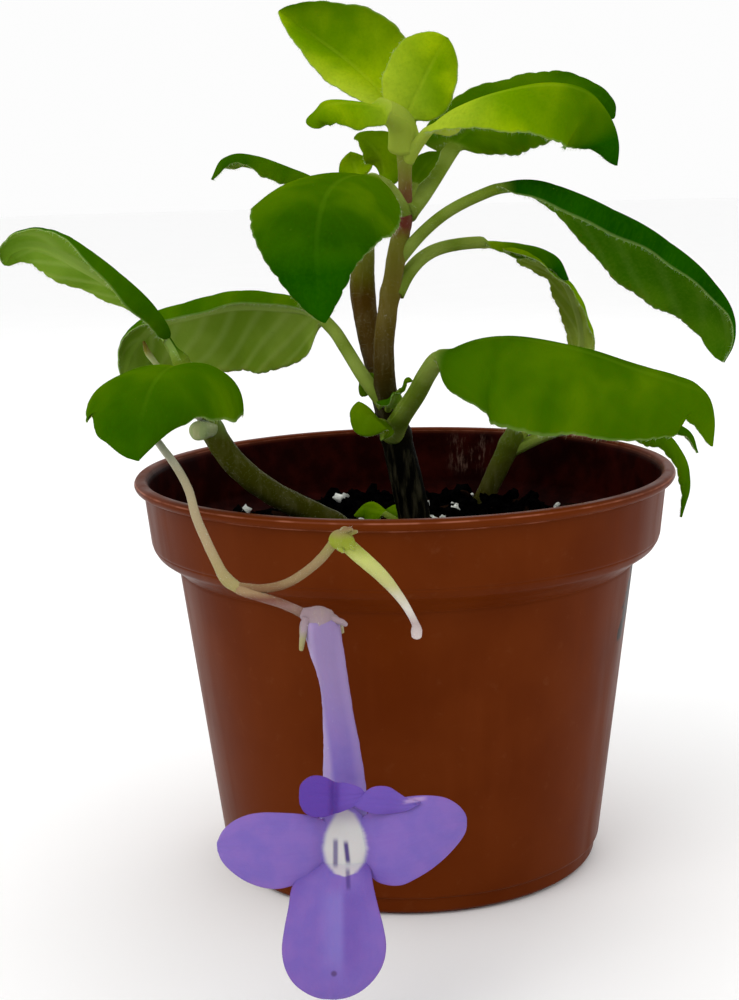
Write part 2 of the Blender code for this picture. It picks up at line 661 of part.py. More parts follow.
    },
}

for name, plan in leaves.items():
    points, faces = leaf_shape(plan, None if "end_on" in plan else hosts[plan["on"]])
    add_object(name, points, faces, plan["material"])


# Pot: one thin wall turned about +Z, with a rolled lip, a collar, a step and a foot
pot_profile = [
    (0.0, 0.0),
    (foot_radius - 1.0, 0.0),
    (foot_radius, 0.7),
    (foot_radius + 0.2, 2.9),
    (foot_radius + 0.8, 3.2),
    (38.1, 51.0),
    (39.6, 52.4),
    (41.6, 53.8),
    (42.4, 55.3),
    (43.4, 64.3),
    (44.6, 64.6),
    (rim_radius, 65.4),
    (44.5, rim_height),
    (43.1, rim_height),
    (42.4, 65.0),
    (41.3, 56.4),
    (40.6, 55.0),
    (38.6, 53.6),
    (36.9, 51.8),
    (31.0, 3.4),
    (30.4, 1.3),
    (0.0, 1.3),
]


def turned_object(name, profile, steps, material):
    mesh = bpy.data.meshes.new(name)
    points = [(radius * metre, 0.0, height * metre) for radius, height in profile]
    mesh.from_pydata(points, [(k, k + 1) for k in range(len(points) - 1)], [])
    made = bpy.data.objects.new(name, mesh)
    plant.objects.link(made)
    mesh.materials.append(material)
    screw = made.modifiers.new("turn", "SCREW")
    screw.axis = "Z"
    screw.steps = steps
    screw.render_steps = steps
    screw.use_merge_vertices = True
    screw.merge_threshold = 0.00001
    screw.use_normal_calculate = True
    return made


pot = turned_object("pot", pot_profile, 48, pot_plastic)
for index in range(drain_count):
    angle = 2 * math.pi * (index + 0.5) / drain_count
    spot = (drain_circle * math.cos(angle) * metre, drain_circle * math.sin(angle) * metre, 0.0006)
    bpy.ops.mesh.primitive_cylinder_add(
        vertices=16, radius=drain_radius * metre, depth=0.004, location=spot
    )
    drain = bpy.context.object
    drain.name = f"drain_cutter_{index}"
    for holder in list(drain.users_collection):
        holder.objects.unlink(drain)
    cutters.objects.link(drain)
    cut_away(pot, drain, f"drain_{index}")


# Potting mix: fills the pot to below the collar, lumpy on top, with a plain hole for each stem
def soil_height(x, y):
    """A few crossing waves, highest by the main stem."""
    ripple = 0.5 * np.sin(0.33 * x + 1.0) * np.cos(0.29 * y)
    lumps = 0.35 * np.sin(0.71 * x - 0.4 * y) + 0.3 * np.cos(0.55 * y + 0.8 * x)
    mound = 1.2 * np.exp(-((x - 1.5) ** 2 + (y + 1.0) ** 2) / 90.0)
    return soil_level + ripple + lumps + mound


def soil_shape():
    angle = np.arange(36) * 2 * math.pi / 36
    ring = np.stack([np.cos(angle), np.sin(angle)], -1)
    rings = []
    for radius, height in [(12.0, 1.0), (30.0, 1.1), (30.6, 3.2), (36.3, 50.4)]:
        rings.append(np.column_stack([radius * ring, np.full(36, height)]))
    for radius in (36.4, 31.0, 25.0, 18.5, 12.0, 6.5, 0.6):
        flat = radius * ring
        rings.append(np.column_stack([flat, soil_height(flat[:, 0], flat[:, 1])]))
    rings[4][:, 2] = np.minimum(rings[4][:, 2], 52.6)
    return closed_rings(rings)


points, faces = soil_shape()
soil = add_object("soil", points, faces, potting_mix)
for name in ("main_stem", "left_stem", "right_stem"):
    rows = 16 if name == "main_stem" else 9
    points, faces = rod_shape(stems[name], rows, 12, seat_gap)
    axis = unit(points[12:24].mean(axis=0) - points[:12].mean(axis=0))
    points[:12] -= seat_gap * axis
    cutter = add_object(f"{name}_hole", points, faces, None, cutters)
    cut_away(soil, cutter, f"{name}_hole")


# Flower: a curved tube that opens into five lobes, drawn as spokes around the throat
face_right = np.array([0.9997, 0.005, -0.0257])
face_up = np.array([0.0262, 0.1897, 0.9815])
face_out = np.array([0.0, -0.9818, 0.1898])
throat = np.array([-10.6, -72.5, 28.0])

# Angle in degrees from the viewer's right, and reach of the edge from the throat
lobe_edge = [
    (-176, 17.4), (-168, 16.7), (-160, 15.1), (-152, 12.2), (-144, 8.5), (-139, 7.2), (-134, 10.8),
    (-123, 14.8), (-118, 16.7), (-111, 18.7), (-103, 20.2), (-94, 20.6), (-86, 19.5), (-77, 17.8),
    (-70, 15.7), (-65, 13.7), (-61, 11.3), (-55, 8.4), (-48, 5.8), (-44, 7.4), (-38, 8.8),
    (-30, 10.2), (-15, 12.2), (-4, 14.4), (5, 16.7), (12, 17.0), (21, 15.8), (29, 13.7),
    (37, 10.6), (42, 8.6), (47, 9.8), (58, 9.6), (70, 7.6), (78, 6.8), (95, 7.6),
    (105, 9.2), (116, 10.1), (126, 9.6), (134, 7.6), (139, 6.4), (149, 9.6), (161, 13.6),
    (171, 16.2),
]


def corolla_shape():
    angle = np.radians([entry[0] for entry in lobe_edge])
    reach = np.array([entry[1] for entry in lobe_edge])
    flat = np.stack([np.cos(angle), np.sin(angle)], -1)

    def tube_ring(centre, radius, ahead):
        """A ring of the tube, square to the way the tube runs there."""
        ahead = unit(np.array(ahead, float))
        right = unit(face_right - (face_right @ ahead) * ahead)
        up = np.cross(ahead, right)
        return np.array(centre) + radius * (flat[:, :1] * right + flat[:, 1:] * up)

    def limb_ring(share, lift):
        radius = 3.2 + (reach - 3.2) * share
        backward = np.clip(np.sin(angle), 0, 1) ** 2 * 0.8 * share**1.5
        droop = np.clip(-np.sin(angle), 0, 1) ** 2 * (3.4 * np.sin(2.4 * share) - 1.0 * share)
        sweep = np.cos(angle) ** 2 * (1.6 * np.sin(2.6 * share) - 2.4 * share**2)
        ruffle = 0.5 * share * np.sin(5 * angle + 0.6)
        depth = droop + sweep - backward + ruffle + lift
        spread = radius[:, None] * (flat[:, :1] * face_right + flat[:, 1:] * face_up)
        return throat + spread + depth[:, None] * face_out

    half = 0.32
    rings = [
        tube_ring((-13.3, -61.2, 54.4), 1.9, (0.2, -0.1, -1.0)),
        tube_ring((-12.7, -61.6, 51.5), 2.35, (0.2, -0.1, -1.0)),
        tube_ring((-11.9, -62.3, 47.0), 1.85, (0.15, -0.1, -1.0)),
        tube_ring((-11.3, -63.0, 42.0), 1.95, (0.1, -0.1, -1.0)),
        tube_ring((-10.9, -63.8, 37.0), 2.6, (0.05, -0.25, -1.0)),
        tube_ring((-10.6, -65.6, 32.6), 3.0, (0.0, -0.6, -0.8)),
        tube_ring((-10.6, -68.8, 29.4), 3.2, (0.0, -0.9, -0.3)),
    ]
    rings += [limb_ring(share, -half) for share in (0.2, 0.5, 0.8, 1.0)]
    rings += [limb_ring(share, half) for share in (1.0, 0.8, 0.5, 0.2)]
    rings += [
        tube_ring((-10.6, -70.4, 28.9), 2.7, (0.0, -0.95, 0.1)),
        tube_ring((-10.6, -68.0, 30.4), 2.4, (0.0, -0.9, -0.3)),
        tube_ring((-10.8, -64.8, 35.0), 1.9, (0.0, -0.4, -0.9)),
    ]
    return closed_rings(rings)


points, faces = corolla_shape()
add_object("corolla", points, faces, corolla_violet)


# Calyx cups: five narrow teeth around the end of a stalk
def calyx_shape(centre, ahead, cup, reach, lift, sides=20):
    angle = np.arange(sides) * 2 * math.pi / sides
    star = 0.5 + 0.5 * np.cos(5 * angle)
    flat = np.stack([np.cos(angle), np.sin(angle)], -1)
    ahead = unit(np.array(ahead, float))
    right = unit(np.cross(ahead, np.array([0.3, 0.9, 0.2])))
    up = np.cross(ahead, right)
    rings = []
    for radius, point_share, rise in [
        (0.55 * cup, 0.0, -0.9), (cup, 0.0, -0.2), (cup + 0.25, 1.0, lift), (cup - 0.1, 1.0, lift + 0.5),
        (cup * 0.7, 0.0, 0.3),
    ]:
        spread = radius + (reach - radius) * point_share * star
        height = rise if point_share else rise * np.ones(sides)
        height = height * (point_share * star + (1 - point_share)) if point_share else height
        spoke = flat[:, :1] * right + flat[:, 1:] * up
        rings.append(np.array(centre) + spread[:, None] * spoke + height[:, None] * ahead)
    return closed_rings(rings)


stalk_parts = {
    "spent_flower_stalk": {
        "path": [
            (-23.8, -59.3, 60.5, 0.6), (-20.6, -59.8, 60.2, 0.6), (-16.9, -60.2, 61.0, 0.6),
            (-13.4, -60.2, 63.5, 0.6), (-11.3, -60.1, 65.7, 0.6),
        ],
        "rows": 10, "sides": 8, "material": flower_stalk,
    },
    "open_flower_stalk": {
        "path": [
            (-23.9, -59.9, 58.8, 0.6), (-19.7, -60.3, 57.9, 0.6), (-16.8, -60.4, 57.5, 0.65),
            (-15.3, -60.7, 56.9, 0.65),
        ],
        "rows": 7, "sides": 8, "material": flower_stalk,
    },
    "spent_pistil": {
        "path": [
            (-9.5, -60.2, 66.2, 0.95), (-8.2, -60.4, 64.9, 1.05), (-4.9, -61.0, 61.9, 0.95),
            (-2.8, -61.2, 59.4, 0.7), (-1.4, -61.2, 57.3, 0.55), (-0.2, -61.2, 54.9, 0.5),
            (0.0, -61.2, 53.9, 0.75), (0.0, -61.2, 53.1, 0.7),
        ],
        "rows": 14, "sides": 8, "material": pistil_pale,
    },
}
for name, plan in stalk_parts.items():
    points, faces = rod_shape(plan["path"], plan["rows"], plan["sides"])
    add_object(name, points, faces, plan["material"])

points, faces = calyx_shape((-13.9, -61.0, 55.6), (0.3, -0.1, -0.95), 1.5, 4.2, 1.6)
add_object("open_flower_calyx", points, faces, calyx_green)
points, faces = calyx_shape((-9.9, -60.2, 66.5), (0.7, -0.1, -0.5), 1.2, 2.4, 1.0)
add_object("spent_flower_calyx", points, faces, calyx_green)
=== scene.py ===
import json
import math

import bmesh
import bpy
import numpy as np
from mathutils import Matrix, Vector


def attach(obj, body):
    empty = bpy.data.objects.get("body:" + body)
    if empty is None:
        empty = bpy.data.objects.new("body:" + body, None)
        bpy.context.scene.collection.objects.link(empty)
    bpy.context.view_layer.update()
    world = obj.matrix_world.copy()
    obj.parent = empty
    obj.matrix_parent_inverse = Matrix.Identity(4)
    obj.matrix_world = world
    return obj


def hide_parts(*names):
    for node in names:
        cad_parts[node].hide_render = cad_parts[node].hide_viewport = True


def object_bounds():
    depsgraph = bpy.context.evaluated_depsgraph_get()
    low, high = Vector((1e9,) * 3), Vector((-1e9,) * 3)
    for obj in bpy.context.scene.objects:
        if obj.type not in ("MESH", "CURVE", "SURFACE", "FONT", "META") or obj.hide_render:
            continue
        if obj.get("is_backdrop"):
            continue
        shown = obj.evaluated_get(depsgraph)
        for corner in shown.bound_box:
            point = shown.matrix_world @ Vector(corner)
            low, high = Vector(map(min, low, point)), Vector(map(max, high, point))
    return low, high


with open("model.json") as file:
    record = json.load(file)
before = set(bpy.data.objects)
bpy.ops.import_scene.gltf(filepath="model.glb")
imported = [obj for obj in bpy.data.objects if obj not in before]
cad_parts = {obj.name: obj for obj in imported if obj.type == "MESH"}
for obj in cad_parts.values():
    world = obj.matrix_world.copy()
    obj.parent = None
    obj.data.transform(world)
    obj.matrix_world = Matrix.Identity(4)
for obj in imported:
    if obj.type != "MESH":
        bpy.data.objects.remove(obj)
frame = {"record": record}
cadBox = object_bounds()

mm = 0.001
plantLift = 0.6  # the plant's tables stand this much lower than the pot's
scene = bpy.context.scene
scene.view_settings.view_transform = "Standard"
print("frame loaded")


def addObject(name, data):
    made = bpy.data.objects.new(name, data)
    scene.collection.objects.link(made)
    return made


# camera: where the photograph was taken from, in millimetres and degrees
cameraPlan = {"place": (-5.9, -293.57, 117.44), "pitch": 10.94, "roll": 1.5, "lens": 64.04}


def placeCamera(plan):
    # columns of the turn: right and up rolled by the small angle, then straight back
    pitch, roll = math.radians(plan["pitch"]), math.radians(plan["roll"])
    flatRight = Vector((1, 0, 0))
    flatUp = Vector((0, math.sin(pitch), math.cos(pitch)))
    back = Vector((0, -math.cos(pitch), math.sin(pitch)))
    right = math.cos(roll) * flatRight - math.sin(roll) * flatUp
    up = math.sin(roll) * flatRight + math.cos(roll) * flatUp
    camera = addObject("camera", bpy.data.cameras.new("camera"))
    camera.data.lens = plan["lens"]
    camera.data.clip_start = 0.01
    turn = Matrix((right, up, back)).transposed().to_4x4()
    camera.matrix_world = Matrix.Translation(Vector(plan["place"]) * mm) @ turn
    scene.camera = camera


placeCamera(cameraPlan)

# lights: name, place in metres, size in metres, watts, colour; all look at the plant's middle
lightPlan = {
    "sky": 0.98, "aim": (0, 0, 0.07),
    "lamps": [
        ("windowLight", (-0.45, -0.55, 0.75), 0.60, 2.0, (1.0, 0.99, 0.96)),
        ("rearLight", (0.15, 0.55, 0.60), 0.55, 1.0, (1.0, 1.0, 1.0)),
    ],
}


def placeLights(plan):
    world = bpy.data.worlds.new("paleRoom")
    scene.world = world
    world.use_nodes = True
    sky = world.node_tree.nodes["Background"].inputs
    sky["Color"].default_value = (1, 1, 1, 1)
    sky["Strength"].default_value = plan["sky"]
    for name, place, size, watts, colour in plan["lamps"]:
        data = bpy.data.lights.new(name, "AREA")
        data.shape, data.size, data.energy, data.color = "DISK", size, watts, colour
        lamp = addObject(name, data)
        lamp.location = place
        towards = Vector(plan["aim"]) - Vector(place)
        lamp.rotation_euler = towards.to_track_quat("-Z", "Y").to_euler()


placeLights(lightPlan)


# small tools for arrays of points
def unit(vectors):
    return vectors / np.maximum(np.linalg.norm(vectors, axis=-1, keepdims=True), 1e-9)


def easeStep(value, low, high):
    # 0 below low, 1 above high, and a smooth S between
    share = np.clip((value - low) / (high - low), 0, 1)
    return share * share * (3 - 2 * share)


def smoothPath(points, samples):
    # a Catmull-Rom curve through the points, sampled evenly by length, where each sample lies
    # among the points, and the curve's length
    given = np.asarray(points, float)
    given = np.vstack([2 * given[0] - given[1], given, 2 * given[-1] - given[-2]])
    share = np.linspace(0, 1, 60, endpoint=False)[None, :, None]
    a, b, c, d = (given[k : len(given) - 3 + k, None, :] for k in range(4))
    curve = 2 * b + (c - a) * share + (2 * a - 5 * b + 4 * c - d) * share**2
    curve = 0.5 * (curve + (3 * b - a - 3 * c + d) * share**3)
    dense = np.vstack([curve.reshape(-1, given.shape[1]), given[-2:-1]])
    last = len(points) - 1
    marks = np.append((np.arange(last)[:, None] + share[0, :, 0]).ravel(), float(last))
    steps = np.linalg.norm(np.diff(dense[:, :3], axis=0), axis=1)
    travelled = np.append(0.0, np.cumsum(steps))
    even = np.linspace(0, travelled[-1], samples)
    columns = [np.interp(even, travelled, column) for column in dense.T]
    return np.stack(columns, -1), np.interp(even, travelled, marks), travelled[-1]


def pick(values, shares, marks):
    # each column of values read at the marks
    return np.stack([np.interp(marks, shares, column) for column in values.T], -1)


def bearings(steps):
    # the angles of so many steps round a circle
    return np.linspace(0, 2 * math.pi, steps, endpoint=False)


def polar(radius, turn):
    return radius * np.cos(turn), radius * np.sin(turn)


def waveNoise(points, size, seed, waves=9):
    # soft noise from -1 to 1: sines along seeded directions, about one bump to each size
    draw = np.random.default_rng(seed)
    ways = unit(draw.normal(size=(waves, 3))) * draw.uniform(0.7, 1.4, (waves, 1))
    ways = ways * 2 * math.pi / (2.2 * size)
    phases = draw.uniform(0, 6.28, waves)
    return np.sin(points @ ways.T + phases).sum(-1) / math.sqrt(waves) / 1.4


def closedTube(grid):
    # a grid wrapped round into quads, both ends closed by a fan of triangles to a middle point
    rows, columns = grid.shape[:2]
    count = rows * columns
    points = np.vstack([grid.reshape(-1, 3), grid[0].mean(0), grid[-1].mean(0)])
    index = np.arange(count).reshape(rows, columns)
    after = np.roll(index, -1, 1)
    walls = np.stack([index[:-1], after[:-1], after[1:], index[1:]], -1)
    faces = walls.reshape(-1, 4).tolist()
    for ring, middle in ((index[0, ::-1], count), (index[-1], count + 1)):
        faces += np.stack([ring, np.roll(ring, -1), np.full(columns, middle)], -1).tolist()
    return {"points": points, "faces": faces}


def triple(first, second, third):
    # three arrays of one shape, or that stretch to one, put together as x, y and z
    return np.stack(np.broadcast_arrays(first, second, third), -1)


def makePiece(name, parts, materials, slot, node):
    # parts are dictionaries: points in millimetres, faces, the material's number for all faces
    # or for each, and maps, which are attributes of three numbers for each point
    points, faces, numbers = [], [], []
    names = sorted({key for part in parts for key in part.get("maps", {})})
    maps = {key: [] for key in names}
    first = 0
    for part in parts:
        count = len(part["points"])
        points.append(part["points"])
        faces += [[first + corner for corner in face] for face in part["faces"]]
        numbers.append(np.broadcast_to(part.get("material", 0), len(part["faces"])))
        for key in names:
            maps[key].append(part.get("maps", {}).get(key, np.zeros((count, 3))))
        first += count
    mesh = bpy.data.meshes.new(name)
    mesh.from_pydata((np.vstack(points) * mm).tolist(), [], faces)
    mesh.polygons.foreach_set("material_index", np.concatenate(numbers).astype(np.int32))
    mesh.polygons.foreach_set("use_smooth", np.ones(len(faces), bool))
    for key in names:
        layer = mesh.attributes.new(key, "FLOAT_VECTOR", "POINT")
        layer.data.foreach_set("vector", np.vstack(maps[key]).astype(np.float32).ravel())
    for material in materials:
        mesh.materials.append(material)
    piece = addObject(name, mesh)
    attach(piece, "root")
    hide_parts(node)
    return piece


# hairs: thin three-sided spikes, straight or bent once in the middle
hairPlan = {"sunk": 0.03, "lean": (0.05, 0.3), "middle": 0.5, "middleLean": 0.12, "taper": 0.7}


def hairSpikes(roots, ways, lengths, thick, seed, bent):
    plan = hairPlan
    draw = np.random.default_rng(seed)
    count = len(roots)
    ways = unit(ways)
    side = unit(np.cross(ways, unit(draw.normal(size=(count, 3)))))
    along, across = polar(thick, bearings(3)[None, :, None])
    ring = along * side[:, None] + across * np.cross(ways, side)[:, None]
    reach = (ways * lengths[:, None])[:, None]
    lean = (side * lengths[:, None] * draw.uniform(*plan["lean"], (count, 1)))[:, None]
    roots = roots[:, None]
    rings = [roots - plan["sunk"] * reach + ring]
    walls, tips = [], [[0, 1, 3], [1, 2, 3], [2, 0, 3]]
    if bent:
        middle = roots + plan["middle"] * reach + plan["middleLean"] * lean
        rings.append(middle + plan["taper"] * ring)
        walls, tips = [[0, 1, 4, 3], [1, 2, 5, 4], [2, 0, 3, 5]], [[3, 4, 6], [4, 5, 6], [5, 3, 6]]
    points = np.concatenate(rings + [roots + reach + lean], 1)
    first = points.shape[1] * np.arange(count)[:, None, None]
    faces = []
    for kind in (walls, tips):
        if kind:
            faces += (np.array(kind) + first).reshape(-1, len(kind[0])).tolist()
    return {"points": points.reshape(-1, 3), "faces": faces}


def hairsOn(grid, count, length, thick, seed, wrap=False, spread=0.45, bent=False):
    # roots spread evenly over a grid's area; each hair stands square to it, give or take spread
    draw = np.random.default_rng(seed)
    if wrap:
        grid = np.concatenate([grid, grid[:, :1]], 1)
    a, b, c, d = grid[:-1, :-1], grid[:-1, 1:], grid[1:, 1:], grid[1:, :-1]
    normal = np.cross(c - a, d - b)
    area = np.cumsum(np.linalg.norm(normal, axis=-1).ravel())
    spot = np.searchsorted(area, draw.uniform(0, area[-1], count))
    spot = np.minimum(spot, len(area) - 1)
    u, v = draw.uniform(0, 1, (2, count, 1))
    a, b, c, d, normal = (values.reshape(-1, 3)[spot] for values in (a, b, c, d, normal))
    roots = (a * (1 - u) + b * u) * (1 - v) + (d * (1 - u) + c * u) * v
    draw = np.random.default_rng(seed + 1)
    ways = spread * draw.normal(size=(count, 3)) - unit(normal)
    lengths = length * draw.uniform(0.6, 1.3, count)
    return hairSpikes(roots, ways, lengths, thick, seed + 2, bent)


# materials
def paint(red, green, blue):
    # a screen colour from 0 to 255, as the linear colour that the shader wants
    share = np.array([red, green, blue]) / 255
    linear = np.where(share <= 0.04045, share / 12.92, ((share + 0.055) / 1.055) ** 2.4)
    return (*linear.tolist(), 1.0)


class Tone:
    # an output of a shader node; sums, products and powers of it are new nodes
    def __init__(self, brush, socket):
        self.brush, self.socket = brush, socket

    def __add__(self, other):
        return self.brush.math("ADD", self, other)

    def __sub__(self, other):
        return self.brush.math("SUBTRACT", self, other)

    def __rsub__(self, other):
        return self.brush.math("SUBTRACT", other, self)

    def __mul__(self, other):
        return self.brush.math("MULTIPLY", self, other)

    def __pow__(self, other):
        return self.brush.math("POWER", self, other)

    def __abs__(self):
        return self.brush.math("ABSOLUTE", self)

    def step(self, low, high, first=0.0, last=1.0):
        # a smooth S from first at low to last at high
        inputs = {"Value": self, "From Min": low, "From Max": high, "To Min": first, "To Max": last}
        return self.brush.node("ShaderNodeMapRange", inputs, interpolation_type="SMOOTHSTEP")

    def line(self, width, soft):
        # 1 within the width of 0, fading over soft
        return abs(self).step(width, width + soft, 1.0, 0.0)


class Brush:
    # short names for the shader nodes of one material; body is the colour laid so far
    def __init__(self, name, roughness, specular, scatter=0.0, scatterScale=0.001):
        self.material = bpy.data.materials.new(name)
        self.material.use_nodes = True
        self.tree = self.material.node_tree
        self.shader = self.tree.nodes["Principled BSDF"].inputs
        self.shader["Roughness"].default_value = roughness
        self.shader["Specular IOR Level"].default_value = specular
        self.shader["Subsurface Weight"].default_value = scatter
        self.shader["Subsurface Scale"].default_value = scatterScale

    def feed(self, socket, value):
        if isinstance(value, Tone):
            self.tree.links.new(value.socket, socket)
        else:
            socket.default_value = value

    def node(self, kind, inputs, output=0, **settings):
        made = self.tree.nodes.new(kind)
        for key, value in settings.items():
            setattr(made, key, value)
        for key, value in inputs.items():
            self.feed(made.inputs[key], value)
        return Tone(self, made.outputs[output])

    def math(self, operation, first, second=0.0, clamp=False):
        inputs = {0: first, 1: second}
        return self.node("ShaderNodeMath", inputs, operation=operation, use_clamp=clamp)

    def mix(self, share, first, second):
        # three numbers are a screen colour from 0 to 255
        inputs = {0: share, 6: first, 7: second}
        for key in (6, 7):
            if isinstance(inputs[key], tuple) and len(inputs[key]) == 3:
                inputs[key] = paint(*inputs[key])
        return self.node("ShaderNodeMix", inputs, 2, data_type="RGBA")

    def coat(self, share, colour):
        self.body = self.mix(share, self.body, colour)

    def scaled(self, vector, scale):
        return self.node("ShaderNodeVectorMath", {0: vector, 1: scale}, operation="MULTIPLY")

    def places(self):
        # object coordinates in millimetres
        return self.scaled(self.node("ShaderNodeTexCoord", {}, "Object"), (1000, 1000, 1000))

    def attribute(self, name):
        return self.node("ShaderNodeAttribute", {}, "Vector", attribute_name=name)

    def split(self, vector):
        made = self.node("ShaderNodeSeparateXYZ", {0: vector}).socket.node
        return [Tone(self, socket) for socket in made.outputs]

    def noise(self, vector, size, detail=3.0, rough=0.5, stretch=None):
        # size is about the width of one blot in the vector's own unit
        if stretch:
            vector = self.scaled(vector, stretch)
        inputs = {"Vector": vector, "Scale": 1.0 / size, "Detail": detail, "Roughness": rough}
        return self.node("ShaderNodeTexNoise", inputs)

    def ramp(self, value, stops):
        made = self.node("ShaderNodeValToRGB", {0: value})
        items = made.socket.node.color_ramp.elements
        while len(items) < len(stops):
            items.new(0.5)
        for item, (spot, colour) in zip(items, stops):
            item.position, item.color = spot, colour
        return made

    def finish(self, roughness, height=None, strength=0.5, depth=0.0002):
        self.feed(self.shader["Base Color"], self.body)
        self.feed(self.shader["Roughness"], roughness)
        if height is not None:
            inputs = {"Strength": strength, "Distance": depth, "Height": height}
            self.feed(self.shader["Normal"], self.node("ShaderNodeBump", inputs))
        return self.material


def leafMaterial(name, plan):
    rough = plan["roughness"]
    brush = Brush(name, rough, 0.0, plan["scatter"])
    share, along, phase = brush.split(brush.attribute("leafMap"))
    young, tint, blade = brush.split(brush.attribute("leafTone"))
    flat = brush.attribute("leafFlat")
    blots = brush.noise(flat, 9.0, 2.0)
    fine = brush.noise(flat, 0.55, 4.0, 0.6)
    patch = blots.step(0.3, 0.7)
    # distance to the nearest side vein, in shares of the space between two
    vein = brush.math("PINGPONG", phase, 0.5)
    veins = vein.step(0.01, plan["veinWidth"], 1.0, 0.0) * along.step(0.97, 0.8)
    veins = veins * tint.step(0.0, 0.6, 0.25, 1.0) * plan["veinShow"]
    rib = brush.split(flat)[0].line(plan["ribWidth"], 0.5) * along.step(1.0, 0.55)
    marks = brush.math("MAXIMUM", rib, veins, clamp=True)
    deep = brush.mix(patch, plan["deepDark"], plan["deepLight"])
    old = brush.mix(tint, deep, brush.mix(patch, plan["oldDark"], plan["oldLight"]))
    fresh = brush.mix(blots.step(0.35, 0.7), plan["youngDark"], plan["youngLight"])
    brush.body = brush.mix(young, old, fresh)
    brush.coat(young.step(0.95, 1.7), plan["palest"])
    brush.coat(fine.step(0.35, 0.75) * 0.35, brush.mix(0.5, brush.body, plan["fleck"]))
    brush.coat(marks * plan["markShow"], brush.mix(young, plan["ribOld"], plan["ribYoung"]))
    brush.coat(abs(share).step(0.955, 1.0) * 0.45, plan["rim"])
    stalk = brush.mix(patch, plan["stalkDark"], plan["stalkLight"])
    stalk = brush.mix(young.step(0.7, 1.2, 0.0, 0.85), stalk, plan["palestStalk"])
    brush.body = brush.mix(blade, stalk, brush.body)
    inputs = {"Vector": flat, "Scale": 1.0 / plan["cellSize"]}
    cells = brush.node("ShaderNodeTexVoronoi", inputs, feature="SMOOTH_F1")
    height = fine * 0.55 + cells * plan["cellDepth"] + marks * plan["markDepth"]
    skin = fine.step(0.2, 0.8, rough - 0.08, rough + 0.1)
    return brush.finish(skin, height, plan["bump"], 0.00025)


leafTopPlan = {
    "roughness": 0.55, "scatter": 0.04,
    "oldDark": (14, 66, 0), "oldLight": (26, 78, 0),
    "deepDark": (8, 54, 0), "deepLight": (20, 70, 0),
    "youngDark": (100, 136, 0), "youngLight": (142, 168, 6),
    "palest": (172, 192, 48), "palestStalk": (156, 174, 60),
    "ribOld": (62, 112, 10), "ribYoung": (160, 182, 40), "fleck": (46, 98, 0),
    "rim": (130, 160, 80), "stalkDark": (92, 114, 24), "stalkLight": (128, 146, 62),
    "veinWidth": 0.12, "veinShow": 0.14, "ribWidth": 0.12, "markShow": 0.16,
    "cellSize": 1.5, "cellDepth": 0.6, "markDepth": -0.5, "bump": 0.5,
}
leafUnderPlan = dict(
    leafTopPlan, roughness=0.62, scatter=0.06,
    oldDark=(90, 124, 26), oldLight=(112, 144, 44), deepDark=(54, 104, 0), deepLight=(76, 122, 8),
    youngDark=(134, 158, 40), youngLight=(160, 180, 70),
    ribOld=(140, 164, 78), ribYoung=(176, 194, 104), fleck=(112, 142, 44),
    veinWidth=0.3, veinShow=0.5, ribWidth=0.5, markShow=0.6,
    cellDepth=-0.5, markDepth=0.5, bump=0.45,
)
leafTop = leafMaterial("leafTop", leafTopPlan)
leafUnder = leafMaterial("leafUnder", leafUnderPlan)


def hairMaterial(name, dark, light=(255, 255, 250), low=0.0):
    # darker below a height in millimetres
    brush = Brush(name, 0.5, 0.05, 0.2, 0.0005)
    spots = brush.noise(brush.places(), 3.0, 2.0)
    height = brush.split(brush.places())[2]
    brush.body = brush.mix(spots, dark, light)
    brush.coat(height.step(low + 3.0, low - 6.0), (10, 9, 6))
    return brush.finish(spots.step(0.2, 0.8, 0.4, 0.65))


paleHair = hairMaterial("paleHair", (216, 222, 196))
barkHair = hairMaterial("barkHair", (190, 190, 164), (236, 234, 222), 78.0)
rimHair = hairMaterial("rimHair", (160, 184, 120), (214, 226, 188))
leafDown = hairMaterial("leafDown", (60, 104, 14), (110, 146, 50))
print("leaf materials made")


